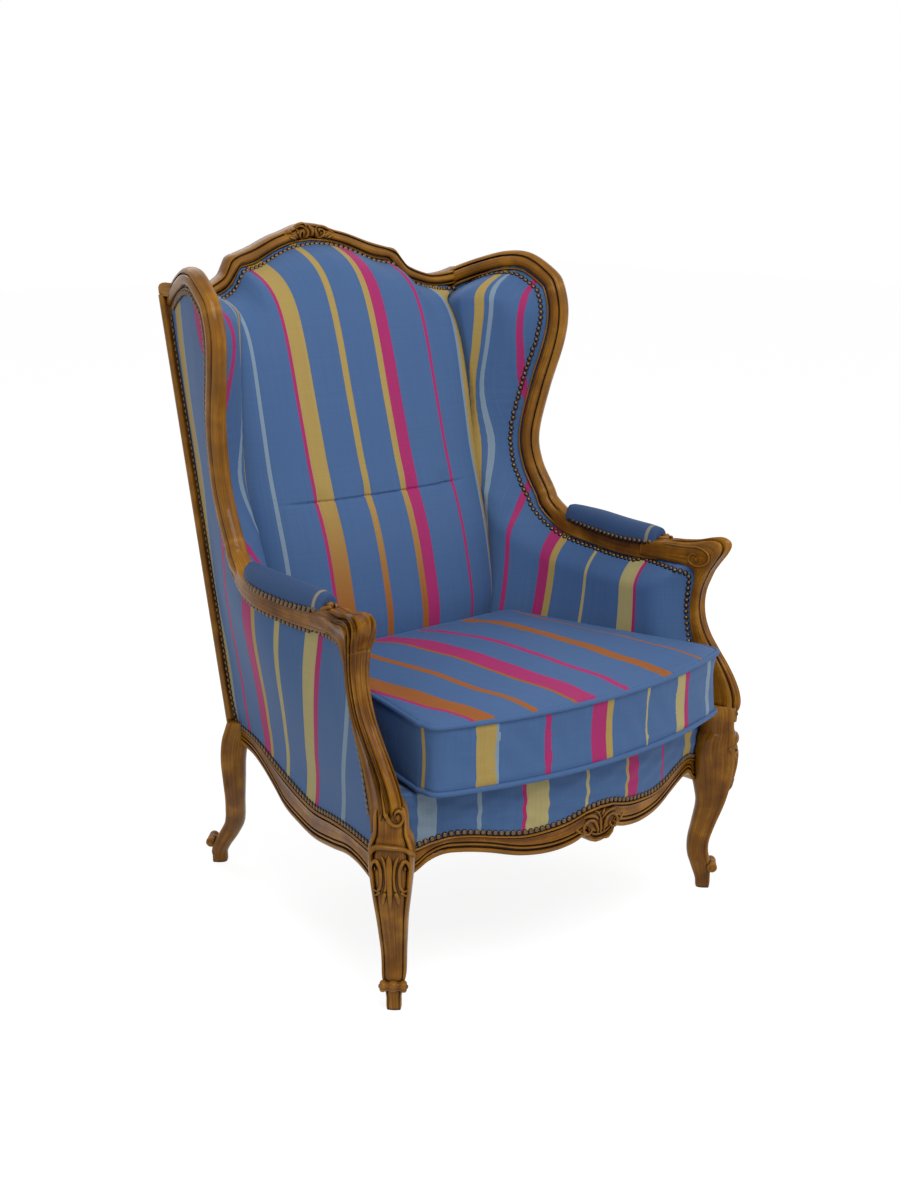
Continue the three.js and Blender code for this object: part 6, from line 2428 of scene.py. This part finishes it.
@dataclass
class Studio:
    """The photograph's viewpoint, a pale floor and soft light.

    Attributes:
        aim: the point the camera looks at.
        azimuth: degrees from the chair's front, towards +X.
        elevation: degrees above the floor.
        distance: from the aim to the camera.
        lens: its focal length in millimetres, on a side of `sensor` millimetres.
        lamp_aim_z: the height that the lamps are aimed at.
        floor_reach: how far the floor runs each way.
    """

    aim: tuple[float, float, float] = (0.0, -0.007, 0.5)
    azimuth: float = -41.154
    elevation: float = 14.161
    distance: float = 2.877
    lens: float = 54.0
    sensor: float = 36.0
    lamp_aim_z: float = 0.55
    floor_reach: float = 12.0

    def aim_at(
        self, piece: Piece, aim: Sequence[float], azimuth: float, elevation: float, distance: float
    ) -> None:
        """Places a camera or lamp so that it looks at a point.

        Args:
            piece: the camera or lamp.
            aim: the point.
            azimuth: degrees from the chair's front, towards +X.
            elevation: degrees above the floor.
            distance: from the point.
        """
        turn, up = math.radians(azimuth), math.radians(elevation)
        way = Vector((math.sin(turn) * math.cos(up), -math.cos(turn) * math.cos(up), math.sin(up)))
        piece.location = Vector(aim) + way * distance
        piece.rotation_euler = way.to_track_quat("Z", "Y").to_euler()

    def camera(self) -> None:
        """Sets the photograph's camera."""
        data = bpy.data.cameras.new("photo_camera")
        data.lens = self.lens
        data.sensor_width = self.sensor
        camera = add_object("photo_camera", data)
        self.aim_at(camera, self.aim, self.azimuth, self.elevation, self.distance)
        bpy.context.scene.camera = camera

    def lamp(
        self, name: str, azimuth: float, elevation: float, distance: float, size: float, power: float
    ) -> None:
        """A square soft light aimed at the chair.

        Args:
            name: the lamp's name.
            azimuth: degrees from the chair's front, towards +X.
            elevation: degrees above the floor.
            distance: from the chair.
            size: of its square.
            power: in watts.
        """
        data = bpy.data.lights.new(name, "AREA")
        data.shape = "SQUARE"
        data.size = size
        data.energy = power
        self.aim_at(add_object(name, data), (0, 0, self.lamp_aim_z), azimuth, elevation, distance)

    def seen_rays(self, tree: Tree) -> Socket:
        """1 for camera, glossy and transmission rays, else 0.

        Args:
            tree: the node tree.

        Returns:
            The value's socket.
        """
        camera, *others = (add_node(tree, "LightPath", out=f"Is {kind} Ray") for kind in SEEN_RAYS)
        for other in others:
            camera = add_node(tree, "Math", {0: camera, 1: other}, operation="MAXIMUM")
        return camera

    def world(self) -> None:
        """White to the eye, a soft even glow as light."""
        world = bpy.data.worlds.new("studio")
        world.use_nodes = True
        tree = world.node_tree
        tree.nodes.clear()
        strength = remap(tree, self.seen_rays(tree), (0, 1), (0.44, 1.0))
        glow = add_node(tree, "Background", {"Color": grey(1.0), "Strength": strength})
        add_node(tree, "OutputWorld", {"Surface": glow})
        bpy.context.scene.world = world

    def floor(self) -> None:
        """A white floor that keeps the chair's soft shadow."""
        material = bpy.data.materials.new("studio_floor")
        material.use_nodes = True
        tree = material.node_tree
        tree.nodes.clear()
        matt = add_node(tree, "BsdfDiffuse", {"Color": grey(0.8)})
        white = add_node(tree, "Emission", {"Color": grey(1.0), "Strength": 0.86})
        some = add_node(tree, "BsdfDiffuse", {"Color": grey(0.3)})
        both = add_node(tree, "AddShader", {0: white, 1: some})
        mixed = add_node(tree, "MixShader", {0: self.seen_rays(tree), 1: matt, 2: both})
        add_node(tree, "OutputMaterial", {"Surface": mixed})
        mesh = bpy.data.meshes.new("studio_floor")
        far = self.floor_reach
        mesh.from_pydata([(-far, -far, 0), (far, -far, 0), (far, far, 0), (-far, far, 0)], [], [(0, 1, 2, 3)])
        mesh.materials.append(material)
        floor = add_object("studio_floor", mesh)
        floor.location.z = -0.0005

    def build(self) -> None:
        """Makes the studio."""
        bpy.context.scene.view_settings.view_transform = "Standard"
        self.camera()
        self.world()
        self.floor()
        self.lamp("key", -30, 48, 3.0, 1.6, 44)
        self.lamp("fill", 45, 25, 3.2, 2.0, 16)
        self.lamp("rear", 170, 45, 3.0, 2.0, 17)


# The chair


SAWN_BEECH = PlainStuff("sawn beech", "#B98F5A", "#9A713F", 3.0)


def dress_hidden(frame: dict) -> None:
    """Gives the solids that keep their own shape a real finish.

    Args:
        frame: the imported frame, with its record and its nodes by name.
    """
    beech = SAWN_BEECH.material()
    jute = PlainStuff("jute webbing", "#A58E63", "#83704B", 1.6, 0.92).material()
    wire = PlainStuff("drawn spring wire", "#77797C", "#5C5E61", 1.0, 0.38, 0.9).material()
    lining = PlainStuff("black bottom cloth", "#23211F", "#171615", 1.2, 0.95).material()
    finishes = {"beech": beech, "webbing": jute, "spring_steel": wire, "bottom_cloth": lining}
    slots = {part["node"]: part["material_slot"] for part in frame["record"]["subparts"]}
    for name, node in frame["nodes"].items():
        finish = finishes.get(slots[name])
        if finish is not None:
            for place in node.material_slots:
                place.material = finish


def main() -> None:
    """Builds the dressed chair in its studio."""
    logging.basicConfig(level=logging.INFO, format="%(message)s")
    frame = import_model()
    Studio().build()
    lines = ChairLines()
    wood = VarnishedWood().material()
    ShowWood(lines, wood, SAWN_BEECH.material()).build()
    satins = (BACK_SATIN, INNER_SATIN, OUTER_SATIN, FRONT_SATIN, REAR_SATIN)
    covers = Upholstery(lines, *(satin.material() for satin in satins))
    covers.build()
    pads = ArmPads(lines, PAD_SATIN.material())
    pads.build()
    Nailing(lines, covers, BronzedNail().material()).build(pads)
    satins = (SEAT_SATIN, BOXING_SATIN, PIPING_SATIN)
    SeatCushion(lines, covers, *(satin.material() for satin in satins)).build()
    dress_hidden(frame)


BACK_STRIPES = (
    (-0.215, 0.007, PALE), (-0.1445, 0.0095, PINK), (-0.126, 0.0275, GOLD), (-0.0413, 0.0085, GOLD),
    (0.035, 0.009, GOLD), (0.053, 0.0275, PINK), (0.144, 0.0095, PINK), (0.214, 0.006, PALE),
)
# low down, the back's gold stripes are painted orange-brown as a painted sheen of the silk
BACK_SATIN = StripedSatin(
    "striped satin, inside back", (*BACK_STRIPES, (0.228, 0.022, GOLD)), painted_shot_sheen=SHOT_SHEEN_RUST, turn_z=(0.47, 0.68)
)
REAR_SATIN = StripedSatin("striped satin, outside back", BACK_STRIPES)
INNER_SATIN = StripedSatin(
    "striped satin, inside sides",
    (
        (0.053, 0.018, GOLD), (0.04, 0.006, PALE), (0.0, 0.0055, PINK), (-0.0568, 0.0225, PINK),
        (-0.0715, 0.007, GOLD), (-0.1445, 0.009, STRAW), (-0.2345, 0.0315, STRAW), (-0.254, 0.0075, PINK),
        (-0.316, 0.005, PALE),
    ),
)
OUTER_SATIN = StripedSatin(
    "striped satin, outside sides",
    (
        (0.268, 0.036, GOLD), (0.2445, 0.011, PALE), (0.1795, 0.0125, PINK), (0.0938, 0.0345, PINK),
        (0.071, 0.011, GOLD), (0.004, 0.0105, STRAW), (-0.08, 0.034, STRAW), (-0.102, 0.0105, PINK),
        (-0.189, 0.0125, PALE),
    ),
)
FRONT_SATIN = StripedSatin(
    "striped satin, front border",
    (
        (-0.2852, 0.0254, PALE), (-0.2139, 0.0076, PALE), (-0.1418, 0.0084, PINK), (-0.1213, 0.0325, STRAW),
        (-0.0316, 0.0105, STRAW), (0.0551, 0.0056, GOLD), (0.0723, 0.0288, PINK), (0.1551, 0.01, PINK),
        (0.259, 0.032, GOLD),
    ),
)
# the seat's orange-brown stripes stand for gold stripes, painted in the silk's sheen
SEAT_SATIN = StripedSatin(
    "striped satin, seat",
    (
        (-0.262, 0.0075, PINK), (-0.244, 0.0285, SHOT_SHEEN_RUST), (-0.1652, 0.009, SHOT_SHEEN_RUST), (-0.0933, 0.0103, SHOT_SHEEN_RUST),
        (-0.071, 0.0345, PINK), (0.0105, 0.0085, PINK), (0.1098, 0.0285, SHOT_SHEEN_RUST), (0.212, 0.009, SHOT_SHEEN_RUST),
    ),
)
BOXING_SATIN = StripedSatin(
    "striped satin, cushion boxing",
    (
        (-0.3368, 0.0104, GOLD), (-0.2325, 0.0301, GOLD), (-0.2122, 0.0104, PALE), (-0.1279, 0.0076, PINK),
        (-0.0316, 0.0317, PINK), (-0.0105, 0.0104, GOLD), (0.0757, 0.009, STRAW), (0.167, 0.0285, STRAW),
        (0.1865, 0.0105, PINK), (0.259, 0.0115, PALE),
    ),
)
PIPING_SATIN = StripedSatin("blue satin, piping", (), streak_mm=1.0)
PAD_SATIN = StripedSatin("blue satin, arm pads", ((0.013, 0.007, "#8E8577"),), ground="#3A5278")
if __name__ == "__main__":
    main()
